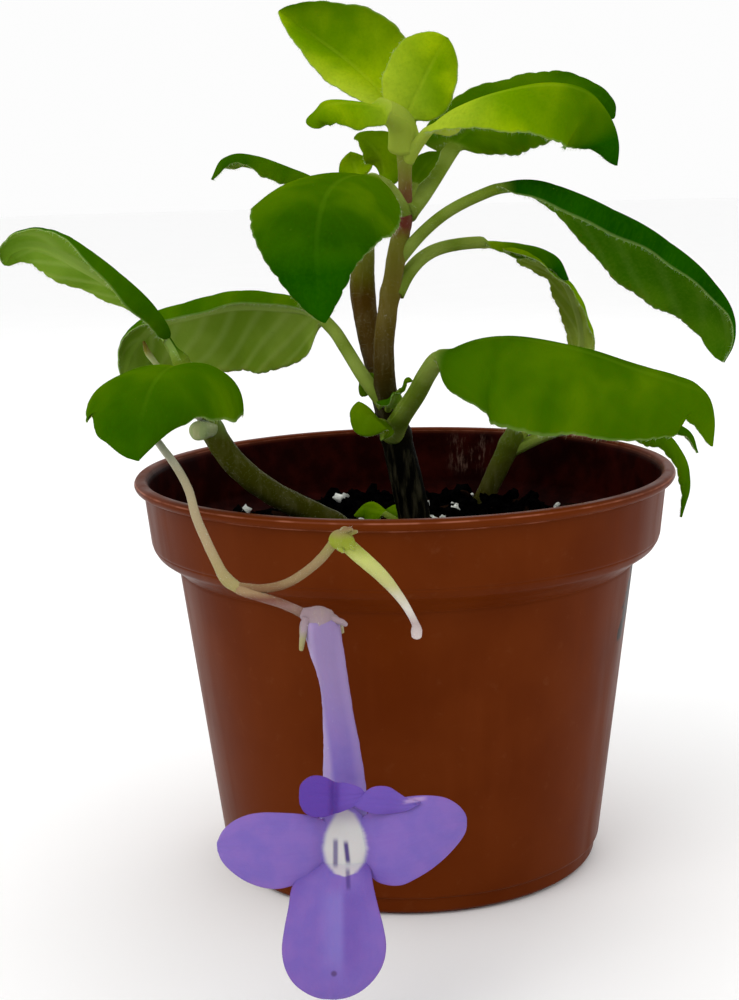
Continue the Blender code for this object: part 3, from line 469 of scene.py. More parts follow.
# leaves: a round stalk that turns into a curved blade, in millimetres; path runs from the stem to
# the tip, and pairs are for the left and right half, or for the base and the tip
leafDetail = {
    "rows": 90, "columns": 39, "thick": 0.42, "edgeThick": 0.16,
    "notch": 0.34, "toothPitch": 2.1, "toothPower": 0.55, "wobble": 0.35, "waves": 2.0, "wave": 0.35,
    "ripple": 0.22, "quilt": 0.08, "veinDip": 0.05, "veinRaise": 0.12, "sideVeins": 5.5,
    # hairs on a square millimetre and their length, hairs on a millimetre of stalk, and hairs on a
    # millimetre of edge with the shortest, the longest and whether they are bent
    "topHair": (1.2, 0.36), "underHair": (1.0, 0.45), "stalkHair": 6.5,
    "edgeHair": [(5.0, 0.3, 0.8, True), (9.0, 0.1, 0.24, False)],
}
leaves = {
    "crown_left": dict(
        path=[(1.1, -1.8, 118.4), (-1.5, 3.5, 125.6), (-6.4, 6.5, 131), (-12.4, 8, 135.8),
            (-18.7, 7.5, 140.5)],
        start=0.7, width=(6.4, 10), up=(0.25, -0.85, 0.45), left=(20, 10), right=(20, 10),
        full=(0.85, 0.8), base=0.45, stalk=(1.5, 1.3), young=(1.2, 0.55), lean=-0.45, notch=0.6,
    ),
    "crown_small": dict(
        path=[(1.2, -2.4, 121), (2.2, -2.6, 123.8), (3.6, -3, 126.6), (5.4, -4, 130),
            (7.2, -5.4, 133), (8.2, -6.3, 134.7)],
        start=0.5, width=(6.8, 6.6), up=(-0.35, -0.9, 0.25), left=(18, 15), right=(18, 15),
        full=0.9, base=0.4, tip=0.45, stalk=(1.5, 1.4), young=(1.4, 0.85), lean=-0.2, notch=0.4,
    ),
    "upper_left": dict(
        path=[(1.3, -2.6, 118.4), (0.6, -5, 121.9), (-1.7, -9, 123.8), (-4.5, -12, 124.5),
            (-8.1, -14.5, 124.8), (-10.9, -16, 124.4), (-12.5, -16, 122.8), (-13, -16, 121.2)],
        start=2.2, width=(4.4, 4.8), up=(0, -0.45, 0.9), left=(-10, 55), right=(0, 45), full=0.8,
        base=0.3, tip=0.45, stalk=(2.3, 2), young=(1.3, 0.6), notch=0.5,
    ),
    "upper_right": dict(
        path=[(1.6, -2.6, 116.1), (3, -5, 118.2), (4.8, -8, 120.5), (6.8, -10, 122.4),
            (9.7, -11.5, 124), (14.3, -13, 125.5), (18.8, -14, 126.4), (23.4, -14.5, 126.7),
            (27, -14.5, 126.2), (30.2, -14.2, 124.6), (32.6, -13.6, 121.4), (33.8, -13.2, 118),
            (33.7, -13, 114.4)],
        start=1.9, width=(8.4, 10.6), up=(0, -0.35, 0.93), tipUp=(0.6, -0.5, 0.5), left=(-15, 60),
        right=(-8, 40), full=(0.95, 1.75), base=(0.42, 0.5), tip=(0.6, 0.75), lobe=(3, 6),
        stalk=(1, 0.9), young=(1.7, -0.2),
    ),
    "rear_right": dict(
        path=[(1.4, -3.2, 107.7), (3.6, 0.5, 109.9), (5.4, 4, 112.1), (7.5, 8, 114.9),
            (9.5, 11, 117.6), (11.7, 13, 120), (14.8, 14, 122.2), (18.8, 15, 123.8),
            (23.9, 15.5, 125.2), (29.1, 16, 126.1), (33.3, 16, 126.1), (36.1, 16, 124.8),
            (37.3, 16, 122)],
        start=4, width=(8.2, 8.4), up=(0, -0.7, 0.7), tipUp=(0.5, -0.5, 0.6), left=(5, 25),
        right=(0, 35), full=(0.75, 0.8), base=(0.35, 0.75), tip=0.5, lobe=(4, 0),
        stalk=(1.45, 1.35), young=(0.35, 0.05),
    ),
    "axil_rear": dict(
        path=[(1.5, -2.4, 109.4), (2.7, 0, 112), (3.9, 1.5, 114.1), (5.6, 2.5, 115.9),
            (7.1, 3, 117.2)],
        start=1, width=(2.6, 1.6), up=(-0.35, -0.85, 0.3), left=(15, 25), right=(15, 25),
        stalk=(0.7, 0.65), young=(0.4, 0.2), wave=0.1,
    ),
    "mid_small": dict(
        path=[(-4.2, 9, 110.8), (-2.2, 6, 113.8), (-2.5, 4.5, 116.2), (-4, 4, 118.2),
            (-5.7, 4, 119.6), (-6.9, 4, 119.8)],
        start=0.8, width=(2.6, 4.4), up=(-0.5, -0.75, 0.1), tipUp=(-0.2, -0.6, 0.8), left=(15, 30),
        right=(15, 30), stalk=(0.65, 0.6), young=(0.8, 0.35), wave=0.1,
    ),
    "mid_rear": dict(
        path=[(-4.2, 9, 110.8), (-6, 12, 113.2), (-7, 13.5, 115.6), (-7.6, 13, 117.6)],
        start=0.9, width=(3.2, 3.2), up=(-0.3, -0.85, 0.3), left=(15, 30), right=(15, 30),
        stalk=(0.65, 0.6), young=(0.9, 0.7), wave=0.1,
    ),
    "mid_left": dict(
        path=[(-5, 9, 107), (-11.2, 12, 111.8), (-17.9, 14, 115.1), (-24.7, 14, 117.4),
            (-29.1, 13, 116.9), (-31.1, 12, 113.6)],
        start=1, width=(4.8, 4.8), up=(0, 0.1, 1), tipUp=(-0.7, 0, 0.6), left=(0, 80),
        right=(0, 50), stalk=(0.95, 0.85), young=(0.25, 0.1),
    ),
    "front_left": dict(
        path=[(0.8, -3.2, 107.6), (-1.1, -8, 111.2), (-3.3, -13, 113.1), (-6.6, -19, 113.9),
            (-9.4, -25, 113), (-11.2, -31, 110.9), (-12.2, -36, 107.2), (-12.5, -38.5, 103),
            (-12.2, -39, 98.8), (-11.6, -39, 93.6)],
        start=2.1, width=(11.6, 12.4), up=(0.1, -0.2, 0.97), tipUp=(-0.1, -1, 0.1), left=(4, 50),
        right=(4, 50), full=(0.76, 0.78), base=(0.75, 0.7), tip=(0.85, 0.7), stalk=(1.2, 1),
        young=(0.5, -0.1),
    ),
    "far_left": dict(
        path=[(-30.9, -17, 78.4), (-32.7, -17.4, 81.6), (-34.3, -17.8, 86), (-36.2, -18.4, 90),
            (-38.9, -19.4, 94), (-43.4, -20.6, 97.9), (-48.2, -21.2, 101), (-52.8, -21.4, 103.7),
            (-56.2, -21.3, 104.7), (-59.2, -20.8, 103.9), (-60.6, -20.6, 102)],
        start=2.1, width=(8, 5), up=(0.72, 0.05, 0.6), tipUp=(-0.4, 0.75, 0.6), left=(48, 145),
        right=(0, 25), open=(0.35, 0), full=(0.7, 0.75), late=(0.12, 0), base=(0.6, 0.35),
        tip=(0.6, 0.4), lobe=(0, 1.8), stalk=(1.45, 1.45), young=(0.15, 0.05), pale=0.75,
    ),
    "rear_left": dict(
        path=[(-2.8, -3.4, 76.4), (-6.2, -1.8, 80.9), (-9.2, 3.2, 85.4), (-11.4, 6.8, 88.4),
            (-14.8, 10.2, 90.9), (-20.4, 12.4, 91.7), (-28.2, 14.4, 91.9), (-36.4, 16, 90.3),
            (-42.4, 17, 88.6), (-46.5, 17, 84.6), (-48.2, 15.4, 79.8)],
        start=3.4, width=(8.6, 13.2), up=(0.05, 0.85, 0.5), tipUp=(-0.6, 0.7, 0.4), left=(20, 140),
        right=(0, 20), open=(0.6, 0), base=0.6, tip=0.45, stalk=(1.15, 1.1), young=(0.35, 0.15),
        pale=0.85, sideVeins=8.5,
    ),
    "low_left": dict(
        path=[(-30.3, -17.6, 76), (-31.6, -25, 81.3), (-32.2, -32, 85.4), (-33.1, -38, 87.6),
            (-34.4, -43, 87.5), (-35.7, -47, 85.9), (-36.6, -50, 83.3), (-37.2, -51, 80.8),
            (-37.5, -51.5, 78.5), (-37.7, -51.5, 76.4)],
        start=1.6, width=(14.2, 13.4), up=(-0.05, -0.15, 0.98), tipUp=(-0.3, -0.9, 0.3),
        left=(18, 115), right=(16, 74), full=(0.62, 1.25), base=(0.8, 0.95), tip=(0.9, 0.42),
        young=(0.4, 0.1), pale=0.6, notch=0.6,
    ),
    "high_right": dict(
        path=[(-0.3, -3.8, 100.2), (4.1, -5.5, 104.9), (8.1, -7, 108), (12.9, -8, 110.3),
            (16.8, -8.8, 111.4), (22.2, -9.2, 110.8), (28.5, -9.6, 108), (35.5, -10, 104.3),
            (41.9, -10, 100.3), (47.4, -10, 96), (51, -9.5, 91.7), (52.3, -9, 87),
            (51.6, -8.5, 82.8)],
        start=3.6, width=(11, 11.2), up=(0.15, 0.5, 0.85), tipUp=(0.9, 0.4, 0.2), left=(0, 30),
        right=(14, 112), open=(0, 0.4), full=(1.6, 0.75), base=(0.8, 0.6), tip=(0.5, 0.8),
        young=(0, 0), pale=0,
    ),
    "thin_right": dict(
        path=[(-0.7, -4, 94.8), (1.5, -2.5, 98.2), (4.2, 0, 100.6), (7.6, 2, 101.9),
            (12.7, 4, 102.4), (17.8, 6, 102), (23, 7.5, 100.9), (26.8, 8.5, 98.9),
            (28.6, 8.5, 95.4)],
        start=4.2, width=(3.6, 3.4), up=(0.1, 0, 1), tipUp=(0.6, -0.3, 0.7), left=(0, 60),
        right=(0, 60), base=0.4, tip=0.4, stalk=(1.15, 1.1), young=(0.5, -0.1), pale=1,
    ),
    "curled_right": dict(
        path=[(20.8, 27, 65.6), (28.4, 27, 72.3), (32.2, 26, 78.9), (32.9, 24, 84.5),
            (31.2, 20, 90.2), (28.3, 15, 95.1), (23.1, 9, 98.6), (19.8, 4, 100.9),
            (17.2, 2, 101.2)],
        start=2, width=(6.4, 3.8), up=(0.85, 0.45, 0.1), tipUp=(-0.1, -0.35, 0.9), left=(10, 50),
        right=(0, 60), full=0.7, base=0.3, stalk=(1.1, 1), young=(1, 0.45), pale=1,
    ),
    "low_right": dict(
        path=[(-1.9, -3.6, 71.9), (-0.3, -9, 75.6), (1.9, -15, 79.8), (3.6, -20, 83.7),
            (5.4, -24, 86.6), (8.7, -27, 88.6), (14.2, -29, 89.7), (19.9, -31, 89.1),
            (27.1, -32.5, 87.4), (34.3, -33.5, 84.7), (40.1, -34, 82.8), (43.7, -34, 81),
            (45, -34, 77.6), (44.9, -34, 73.4)],
        start=3.9, width=(6.6, 15.4), up=(0, -0.35, 0.93), tipUp=(0.7, -0.6, 0.3), left=(-15, 50),
        right=(0, 62), full=(0.62, 0.62), base=(0.48, 1.3), tip=(0.5, 0.75), lobe=(1, 0.5),
        stalk=(1.7, 1.45), young=(0.1, 0.4),
    ),
    "rim_front": dict(
        path=[(20.6, 26.8, 63.4), (28.4, 24.2, 67), (35.9, 23.2, 68.2), (43.1, 23, 68.2),
            (48.1, 22.5, 65.9), (50.9, 21, 61.8), (51.5, 20, 57.2), (49.8, 18.5, 51.9)],
        start=1.8, width=(3.6, 4), up=(0.1, -0.25, 0.95), tipUp=(1, -0.2, 0), left=(0, 70),
        right=(0, 70), stalk=(0.9, 0.8), young=(0.3, 0.15),
    ),
    "rim_rear": dict(
        path=[(20.8, 27.4, 64), (26.7, 30, 65.6), (38.4, 34, 68.5), (48, 34.6, 67.4),
            (53.8, 34, 65), (55.4, 33, 61)],
        start=1.4, width=(4.4, 4.4), up=(0.1, -0.1, 1), tipUp=(1, -0.1, 0.1), left=(0, 60),
        right=(0, 60), stalk=(0.9, 0.8), young=(0.2, 0.1),
    ),
    "base_round": dict(
        path=[(-2.2, -2.6, 71.9), (-3.8, -8, 74.6), (-5.4, -11.2, 75.8), (-7.1, -13, 73.2)],
        start=0.9, width=(4.2, 4.2), up=(-0.2, -0.75, 0.6), tipUp=(-0.4, -0.9, 0.1), left=(0, 30),
        right=(0, 30), full=0.7, base=0.45, tip=0.5, stalk=(0.85, 0.75), young=(0.4, 0.25),
        notch=0.4, wave=0.1,
    ),
    "base_tiny": dict(
        path=[(-2.5, -3.2, 75.4), (-2.3, -7.4, 77.6), (-1.5, -9.8, 79.4)],
        start=0.7, width=(2.3, 2.3), up=(0.2, -0.7, 0.7), left=(0, 40), right=(0, 40),
        stalk=(0.55, 0.5), young=(0.3, 0.1), wave=0.05,
    ),
    "axil_left": dict(
        path=[(-2.9, -1.4, 78.4), (-5.3, -0.9, 79.6), (-7, -0.9, 80.6)],
        start=0.7, width=(2.3, 2.3), up=(-0.2, -0.85, 0.5), left=(0, 30), right=(0, 30),
        stalk=(0.6, 0.6), young=(0.3, 0.2), wave=0.05,
    ),
    "axil_right": dict(
        path=[(-2.6, -3.4, 76.8), (-0.2, -6.8, 79.6), (0.5, -7.8, 81.2), (1.5, -8.2, 81)],
        start=0.9, width=(1.1, 1.1), up=(-0.5, -0.3, 0.8), left=(0, 40), right=(0, 40),
        stalk=(0.5, 0.45), young=(0.4, 0.3), wave=0.05,
    ),
    "soil_left": dict(
        path=[(0.8, -1, 54.8), (-2.8, 2.5, 56.8), (-5, 4.2, 57.3), (-6.9, 5.2, 57.6),
            (-8.5, 5.6, 56.3)],
        start=1.2, width=(2.6, 2.4), up=(0, -0.45, 0.9), tipUp=(-0.9, -0.2, 0.3), left=(0, 60),
        right=(0, 50), stalk=(0.6, 0.55), young=(0.5, 0.4), wave=0.05,
    ),
    "soil_right": dict(
        path=[(1.4, -0.8, 54.9), (-0.4, 2.6, 56.9), (-1.8, 4.2, 57.5), (-3.3, 5.6, 56.9)],
        start=1, width=(1.9, 1.9), up=(-0.3, -0.45, 0.85), tipUp=(-0.7, -0.4, 0.5), left=(0, 60),
        right=(0, 60), stalk=(0.55, 0.5), young=(0.5, 0.4), wave=0.05,
    ),
}


def leafFrames(plan, line, begin):
    # ahead along the path, and above turning from the base's direction to the tip's
    ahead = unit(np.gradient(line, axis=0))
    turn = easeStep(np.linspace(0, 1, len(line)), begin, 1.0)[:, None]
    above = unit(np.array(plan["up"], float)) * (1 - turn)
    above = above + unit(np.array(plan.get("tipUp", plan["up"]), float)) * turn
    return ahead, unit(above - (above * ahead).sum(1, keepdims=True) * ahead)


class LeafForm:
    # a leaf as a grid of points: share runs across the blade from -1 to 1, and along runs from 0
    # at its base to 1 at its tip
    def __init__(self, plan, seed):
        self.plan, self.seed = plan, seed
        line, marks, self.length = smoothPath(plan["path"], 500)
        shares = np.linspace(0, 1, len(line))
        begin = float(np.interp(plan["start"], marks, shares))
        self.bladeLength = self.length * (1 - begin)
        self.big = min(1.0, self.bladeLength / 30)
        rows = int(24 + (leafDetail["rows"] - 24) * self.big)
        columns = int(9 + (leafDetail["columns"] - 9) * self.big)
        columns += 1 - columns % 2
        even = np.linspace(0, 1, rows)
        crowded = 0.45 * even + 0.55 * (0.5 - 0.5 * np.cos(math.pi * even))
        self.stalkRows = max(5, int(begin * self.length / 0.6))
        stalkMarks = np.linspace(0, begin, self.stalkRows, endpoint=False)
        mark = np.append(stalkMarks, begin + (1 - begin) * crowded)
        frames = leafFrames(plan, line, begin)
        self.ahead, above = (pick(values, shares, mark) for values in frames)
        self.beside = unit(np.cross(self.ahead, above))
        self.above = np.cross(self.beside, unit(self.ahead))
        self.place = pick(line, shares, mark)
        self.begin, self.mark = begin, mark[:, None]
        self.along = np.maximum(0, (self.mark - begin) / (1 - begin))
        self.share = np.linspace(-1, 1, columns)[None, :]
        self.off = np.abs(self.share)
        self.facing = np.where(self.share < 0, -1.0, 1.0)

    def half(self, key, usual):
        # one number for both halves of the blade, or a pair for the left and the right one
        value = self.plan.get(key, usual)
        left, right = value if isinstance(value, tuple) else (value, value)
        return np.where(self.share > 0, right, left)

    def reach(self):
        # half-width as a share of the widest: a sine of a bent length, raised to one power at the
        # base and one at the tip; the scallops are added to it
        detail, along, facing = leafDetail, self.along, self.facing
        late = self.half("late", 0.0)
        phase = np.clip((along - late) / (1 - late), 0, 1) ** self.half("full", 0.8)
        power = np.where(phase < 0.5, self.half("base", 0.55), self.half("tip", 0.7))
        full = np.maximum(np.sin(math.pi * phase), 0) ** power
        teeth = self.bladeLength / detail["toothPitch"]
        wobble = detail["wobble"] * np.sin(2 * math.pi * 2.3 * along + 2 * facing + self.seed)
        scallop = np.abs(np.sin(math.pi * teeth * along + wobble + facing)) ** detail["toothPower"]
        scallop = (scallop - 0.75) * detail["notch"] * self.plan.get("notch", 1.0)
        scallop = scallop * easeStep(self.off, 0.4, 1.0) * self.big**0.5
        width = self.half("width", 0.0) * full + scallop * np.minimum(1, 3 * full)
        return full, np.maximum(width, 0.12)

    def bend(self, width):
        # each cut across is two arcs that start at the midrib's fold and bend down
        along, off = self.along, self.off
        bends = zip(self.plan["right"], self.plan["left"])
        fold, curl = (np.radians(np.where(self.share > 0, *pair)) for pair in bends)
        curl = curl * (1 - 0.85 * easeStep(along, 0.62, 0.92) * self.half("open", 0.0))
        curl = np.maximum(curl, 0.001)
        angle = fold - curl * off
        side = width * (np.sin(fold) - np.sin(angle)) / curl
        rise = width * (np.cos(angle) - np.cos(fold)) / curl
        # slow waves and a finer ripple, both strongest at the edges
        draw = np.random.default_rng(self.seed)
        arch = np.sin(math.pi * along)
        swell = np.sin(2 * math.pi * leafDetail["waves"] * along + self.facing) * arch
        rise = rise + self.plan.get("wave", leafDetail["wave"]) * off**2 * swell
        ripple = 2 * math.pi * draw.uniform(4.2, 5.6) * along + 2 * self.facing
        ripple = np.sin(ripple + draw.uniform(0, 6))
        return side, rise + leafDetail["ripple"] * self.big * off**3 * ripple * arch, angle

    def veins(self):
        # side veins leave the midrib and bend towards the tip
        along, off = self.along, self.off
        count = self.plan.get("sideVeins", leafDetail["sideVeins"]) * (0.6 + 0.4 * self.big)
        phase = count * (along - 0.17 * off - 0.13 * off**2) + 0.23 * self.facing + 0.3
        near = np.abs(phase - np.round(phase))
        vein = (1 - easeStep(near, 0.0, 0.13)) * (1 - easeStep(off, 0.75, 1.0)) * self.big
        inside = easeStep(off, 0.02, 0.25) * (1 - easeStep(off, 0.8, 1.0))
        inside = inside * easeStep(along, 0.02, 0.15) * (1 - easeStep(along, 0.85, 0.98))
        return phase, vein, inside

    def rod(self):
        # the stalk's radius, thicker where it leaves the stem
        first, last = self.plan.get("stalk", (1.0, 0.9))
        radius = first + (last - first) * np.minimum(1, self.mark / max(self.begin, 0.01))
        return radius * (1 + 0.22 * np.exp(-self.mark * self.length / 2.5))

    def grids(self):
        # top and underside, carried along the path, with quilting and veins square to the blade
        plan, detail, along, off, big = self.plan, leafDetail, self.along, self.off, self.big
        full, width = self.reach()
        side, rise, angle = self.bend(width)
        phase, vein, inside = self.veins()
        rod = self.rod()
        quilt = detail["quilt"] * big * (0.5 - 0.5 * np.cos(2 * math.pi * phase)) * inside
        ridged = np.exp(-((side / np.maximum(0.5 * (1 - 0.5 * along), 0.2)) ** 2))
        thick = 0.5 * (detail["thick"] + (detail["edgeThick"] - detail["thick"]) * off**3)
        outward = np.where(off < 0.08, off / 0.08, 1.0) * -np.sin(angle) * self.facing
        topLift = thick + quilt - detail["veinDip"] * vein * inside
        topLift = topLift - 0.12 * ridged * (1 - along) * big
        lowLift = thick - 0.6 * quilt + detail["veinRaise"] * vein * inside * (1 - 0.6 * off)
        ridge = (0.75 * rod * (1 - along) + 0.05) * ridged
        blade = self.facing * side
        top = np.stack([blade + outward * topLift, rise + np.cos(angle) * topLift], -1)
        low = [blade - outward * lowLift, rise - np.cos(angle) * lowLift - ridge]
        # near its start the blade is blended out of the round stalk, which has a groove on top
        turn = math.pi / 2 * self.share
        blend = easeStep(along, 0.0, 0.07)
        reach = easeStep(self.mark * self.length, 1.5, 4.0)
        groove = 1 - 0.22 * np.exp(-((self.share / 0.35) ** 2)) * reach
        # a rounded base reaches back past the stalk's end
        back = self.half("lobe", 0.0) * full * off**2 * np.exp(-((along / 0.16) ** 2))
        start = self.place[:, None] + [0, 0, plantLift] - back[..., None] * self.ahead[:, None]
        sides = []
        for flat, tall in ((top, groove), (np.stack(low, -1), -1)):
            stalk = np.stack([rod * np.sin(turn), rod * np.cos(turn) * tall], -1)
            flat = flat * blend[..., None] + stalk * (1 - blend[..., None])
            across = flat[..., :1] * self.beside[:, None]
            sides.append(start + across + flat[..., 1:] * self.above[:, None])
        young = plan.get("young", (0.2, 0.0))
        tone = young[0] + (young[1] - young[0]) * along + plan.get("lean", 0.0) * self.share
        return sides, {
            "leafMap": triple(self.share, along, phase),
            "leafTone": triple(tone, plan.get("pale", 0.5), blend),
            "leafFlat": triple(blade, self.mark * self.length, 7.0 * self.seed),
        }


def leafSkin(top, lower, maps):
    # a tube round top and underside whose tip is closed by a strip from one to the other
    rows, columns = top.shape[:2]
    skin = closedTube(np.concatenate([top, lower[:, ::-1]], 1))
    last = (rows - 1) * 2 * columns
    near = last + np.arange(columns - 1)
    far = last + 2 * columns - 1 - np.arange(columns - 1)
    strip = np.stack([far, far - 1, near + 1, near], -1)
    skin["faces"] = skin["faces"][: -2 * columns] + strip.tolist()
    skin["points"] = skin["points"][:-1]
    number = np.ones((rows - 1, 2 * columns), int)
    number[:, : columns - 1] = 0
    underside = np.ones(len(skin["faces"]) - number.size, int)
    skin["material"] = np.concatenate([number.ravel(), underside])
    skin["maps"] = {}
    for key, value in maps.items():
        both = np.concatenate([value, value[:, ::-1]], 1).reshape(-1, 3)
        skin["maps"][key] = np.vstack([both, both[:1]])
    return skin


def bladeDown(leaf, top, lower, first, scale):
    # short down on both faces of the blade
    area = leaf.bladeLength * sum(leaf.plan["width"]) * 0.7
    for face, key, start in ((top, "topHair", first), (lower[:, ::-1], "underHair", first + 3)):
        crowd, hair = leafDetail[key]
        blade = face[leaf.stalkRows :]
        yield hairsOn(blade, int(area * crowd), hair * scale, 0.02, start)


def stalkHairs(leaf, top, lower, first, scale):
    # long bent hairs and short straight ones round the stalk
    grid = np.concatenate([top, lower[:, ::-1]], 1)
    middles = grid[: leaf.stalkRows].mean(1)
    stalkLength = np.linalg.norm(np.diff(middles, axis=0), axis=1).sum()
    count = int(stalkLength * 5.5 * leafDetail["stalkHair"])
    stalk = grid[: leaf.stalkRows + 6]
    yield hairsOn(stalk, count, 0.85 * scale, 0.022, first + 6, True, 0.35, True)
    yield hairsOn(stalk, 2 * count, 0.25, 0.018, first + 7, True, 0.35)


def edgeHairs(leaf, top, lower, first, scale):
    # hairs that stand out from the blade's two edges
    draw = np.random.default_rng(first + 8)
    blade = slice(leaf.stalkRows, len(top))
    for end, inner in ((0, 1), (-1, -2)):
        edge = 0.5 * (top[blade, end] + lower[blade, end])
        outward = unit(top[blade, end] - top[blade, inner])
        shares = np.arange(len(edge), dtype=float)
        for crowd, short, long, bent in leafDetail["edgeHair"]:
            count = int(leaf.bladeLength * crowd)
            spot = draw.uniform(0.02, 1, count) * (len(edge) - 1)
            ways = unit(pick(outward, shares, spot)) + 0.4 * draw.normal(size=(count, 3))
            lengths = scale * draw.uniform(short, long, count)
            roots = pick(edge, shares, spot)
            yield hairSpikes(roots, ways, lengths, 0.012, first + 9, bent)


def makeLeaf(name, plan, seed):
    leaf = LeafForm(plan, seed)
    (top, lower), maps = leaf.grids()
    cover = (leaf, top, lower, seed * 10, min(1.0, 0.55 + leaf.bladeLength / 60))
    hairs = list(stalkHairs(*cover)) if leaf.stalkRows > 5 else []
    hairs += edgeHairs(*cover)
    parts = [leafSkin(top, lower, maps)] + [dict(part, material=2) for part in hairs]
    parts += [dict(part, material=3) for part in bladeDown(*cover)]
    node = "leaf_" + name
    listed = frame["record"]["subparts"]
    slot = next(row["material_slot"] for row in listed if row["node"] == node)
    return makePiece("blade_" + name, parts, [leafTop, leafUnder, rimHair, leafDown], slot, node)


for seed, (name, plan) in enumerate(leaves.items(), 1):
    makeLeaf(name, plan, seed)
print("leaves grown:", len(leaves))


# pot: one soft-cornered profile, radius and height, turned about +Z
potPlan = {
    "profile": [(30.4, 0), (31.4, 0.7), (31.6, 2.9), (32.2, 3.2), (38.05, 50.6), (37.95, 51),
        (38.3, 51.25), (39.6, 52.4), (41.6, 53.8), (42.3, 55), (42.25, 55.25), (42.45, 55.5),
        (43.35, 64.1), (43.3, 64.4), (44.6, 64.6), (45, 65.4), (44.5, 66.2), (43.1, 66.2),
        (42.4, 65), (41.3, 56.4), (40.6, 55), (38.6, 53.6), (36.9, 51.8), (31, 3.4), (30.4, 1.3)],
    "corner": 0.4, "steps": 208, "shadedFrom": (3, 7),
    "plain": (86, 32, 2), "light": (94, 38, 5), "streak": (104, 46, 14), "dust": (118, 72, 44),
    # the inner wall's colours, painted dark as the shade inside the pot, and its pale smear
    "innerShadeDark": (24, 2, 1), "innerShadeLight": (46, 8, 4), "smear": (120, 92, 80),
    # after the dirt come the lip's painted highlights: their colour, and each line's height and
    # strength
    "dirt": (16, 10, 6), "lipHighlight": (178, 112, 88), "lipHighlightLevels": [(65.75, 0.5), (64.3, 0.45)],
}


def softenProfile(points, reach):
    # each corner becomes a short curve: a quadratic between two points a little way along its sides
    points = np.asarray(points, float)
    before, here, after = points[:-2], points[1:-1], points[2:]
    starts = []
    for other in (before, after):
        gap = np.linalg.norm(other - here, axis=1)
        starts.append((here + np.minimum(reach, 0.45 * gap)[:, None] * unit(other - here))[:, None])
    share = np.linspace(0, 1, 5)[None, :, None]
    curve = (1 - share) ** 2 * starts[0] + 2 * share * (1 - share) * here[:, None]
    curve = curve + share**2 * starts[1]
    return np.vstack([points[:1], curve.reshape(-1, 2), points[-1:]])


def potMaterial(name, shine, plan):
    brush = Brush(name, 0.4, shine)
    spots = brush.places()
    x, y, z = brush.split(spots)
    streaks = brush.noise(spots, 6.0, 4.0, 0.6, (1.0, 1.0, 0.12))
    brush.body = brush.mix(brush.noise(spots, 16.0, 3.0).step(0.3, 0.7), plan["plain"], plan["light"])
    brush.coat(streaks.step(0.5, 0.8) * 0.25, plan["streak"])
    dust = brush.noise(spots, 2.2, 5.0, 0.65).step(0.58, 0.75) * 0.15
    brush.coat(dust, plan["dust"])
    # the inner wall is painted near-black as the shade inside the pot, with a pale smear near its top
    inner = brush.split(brush.attribute("potMap"))[0]
    innerShade = brush.noise(spots, 5.0, 4.0, 0.6).step(0.35, 0.7)
    innerShade = brush.mix(innerShade, plan["innerShadeDark"], plan["innerShadeLight"])
    smear = (x - 13.5).line(2.2, 3.0) * (z - 61.5).line(2.0, 2.5)
    smear = smear * brush.noise(spots, 0.9, 4.0, 0.7, (1.0, 1.0, 0.25)).step(0.48, 0.72)
    brush.coat(inner, brush.mix(smear * 0.6, innerShade, plan["smear"]))
    # painted highlights: thin light lines along the lip's outer edge and under it, broken here and
    # there
    breaks = brush.noise(spots, 5.0, 3.0, 0.6).step(0.4, 0.6, 0.25, 1.0)
    for level, amount in plan["lipHighlightLevels"]:
        line = (z - level).line(0.03, 0.14) * (1.0 - inner)
        brush.coat(line * breaks * amount, plan["lipHighlight"])
    # a streak of dirt runs down the right side from under the collar
    way = brush.noise(brush.node("ShaderNodeCombineXYZ", {2: z}), 3.0, 4.0, 0.7)
    off = x + z.step(36.0, 52.0, -33.8, -37.2) + (way - 0.5) * 2.6
    width = brush.noise(spots, 1.6, 3.0).step(0.3, 0.7, 0.1, 0.9)
    dirt = (abs(off) - width).step(0.35, 0.0) * z.step(38.5, 39.5) * z.step(51.5, 50.5)
    brush.coat(dirt * y.step(0.0, -1.0) * (1.0 - inner) * 0.92, plan["dirt"])
    height = brush.noise(spots, 0.35, 3.0, 0.6) * 0.5 + streaks * 0.6
    return brush.finish((streaks + dust * 0.6).step(0.3, 0.85, 0.3, 0.52), height, 0.12, 0.00012)


def makePot(plan):
    profile = softenProfile(plan["profile"], plan["corner"])
    x, y = polar(profile[:, :1], bearings(plan["steps"]))
    part = closedTube(triple(x, y, profile[:, 1:])[:, ::-1])
    # 1 on the inner wall, from the rim's top downwards, where the shade inside the pot is painted
    crest = int(np.argmax(profile[:, 1]))
    low, high = plan["shadedFrom"]
    inside = easeStep(np.arange(len(profile)), crest + low, crest + high)
    inside = np.append(np.repeat(inside, plan["steps"]), [0.0, 1.0])
    part["maps"] = {"potMap": triple(inside, 0, 0)}
    part["material"] = (inside[[face[0] for face in part["faces"]]] > 0.5).astype(int)
    skins = [potMaterial("brownPlastic", 0.025, plan), potMaterial("shadedInnerPlastic", 0.01, plan)]
    return makePiece("nurseryPot", [part], skins, "pot_plastic", "pot")


makePot(potPlan)
print("pot turned")


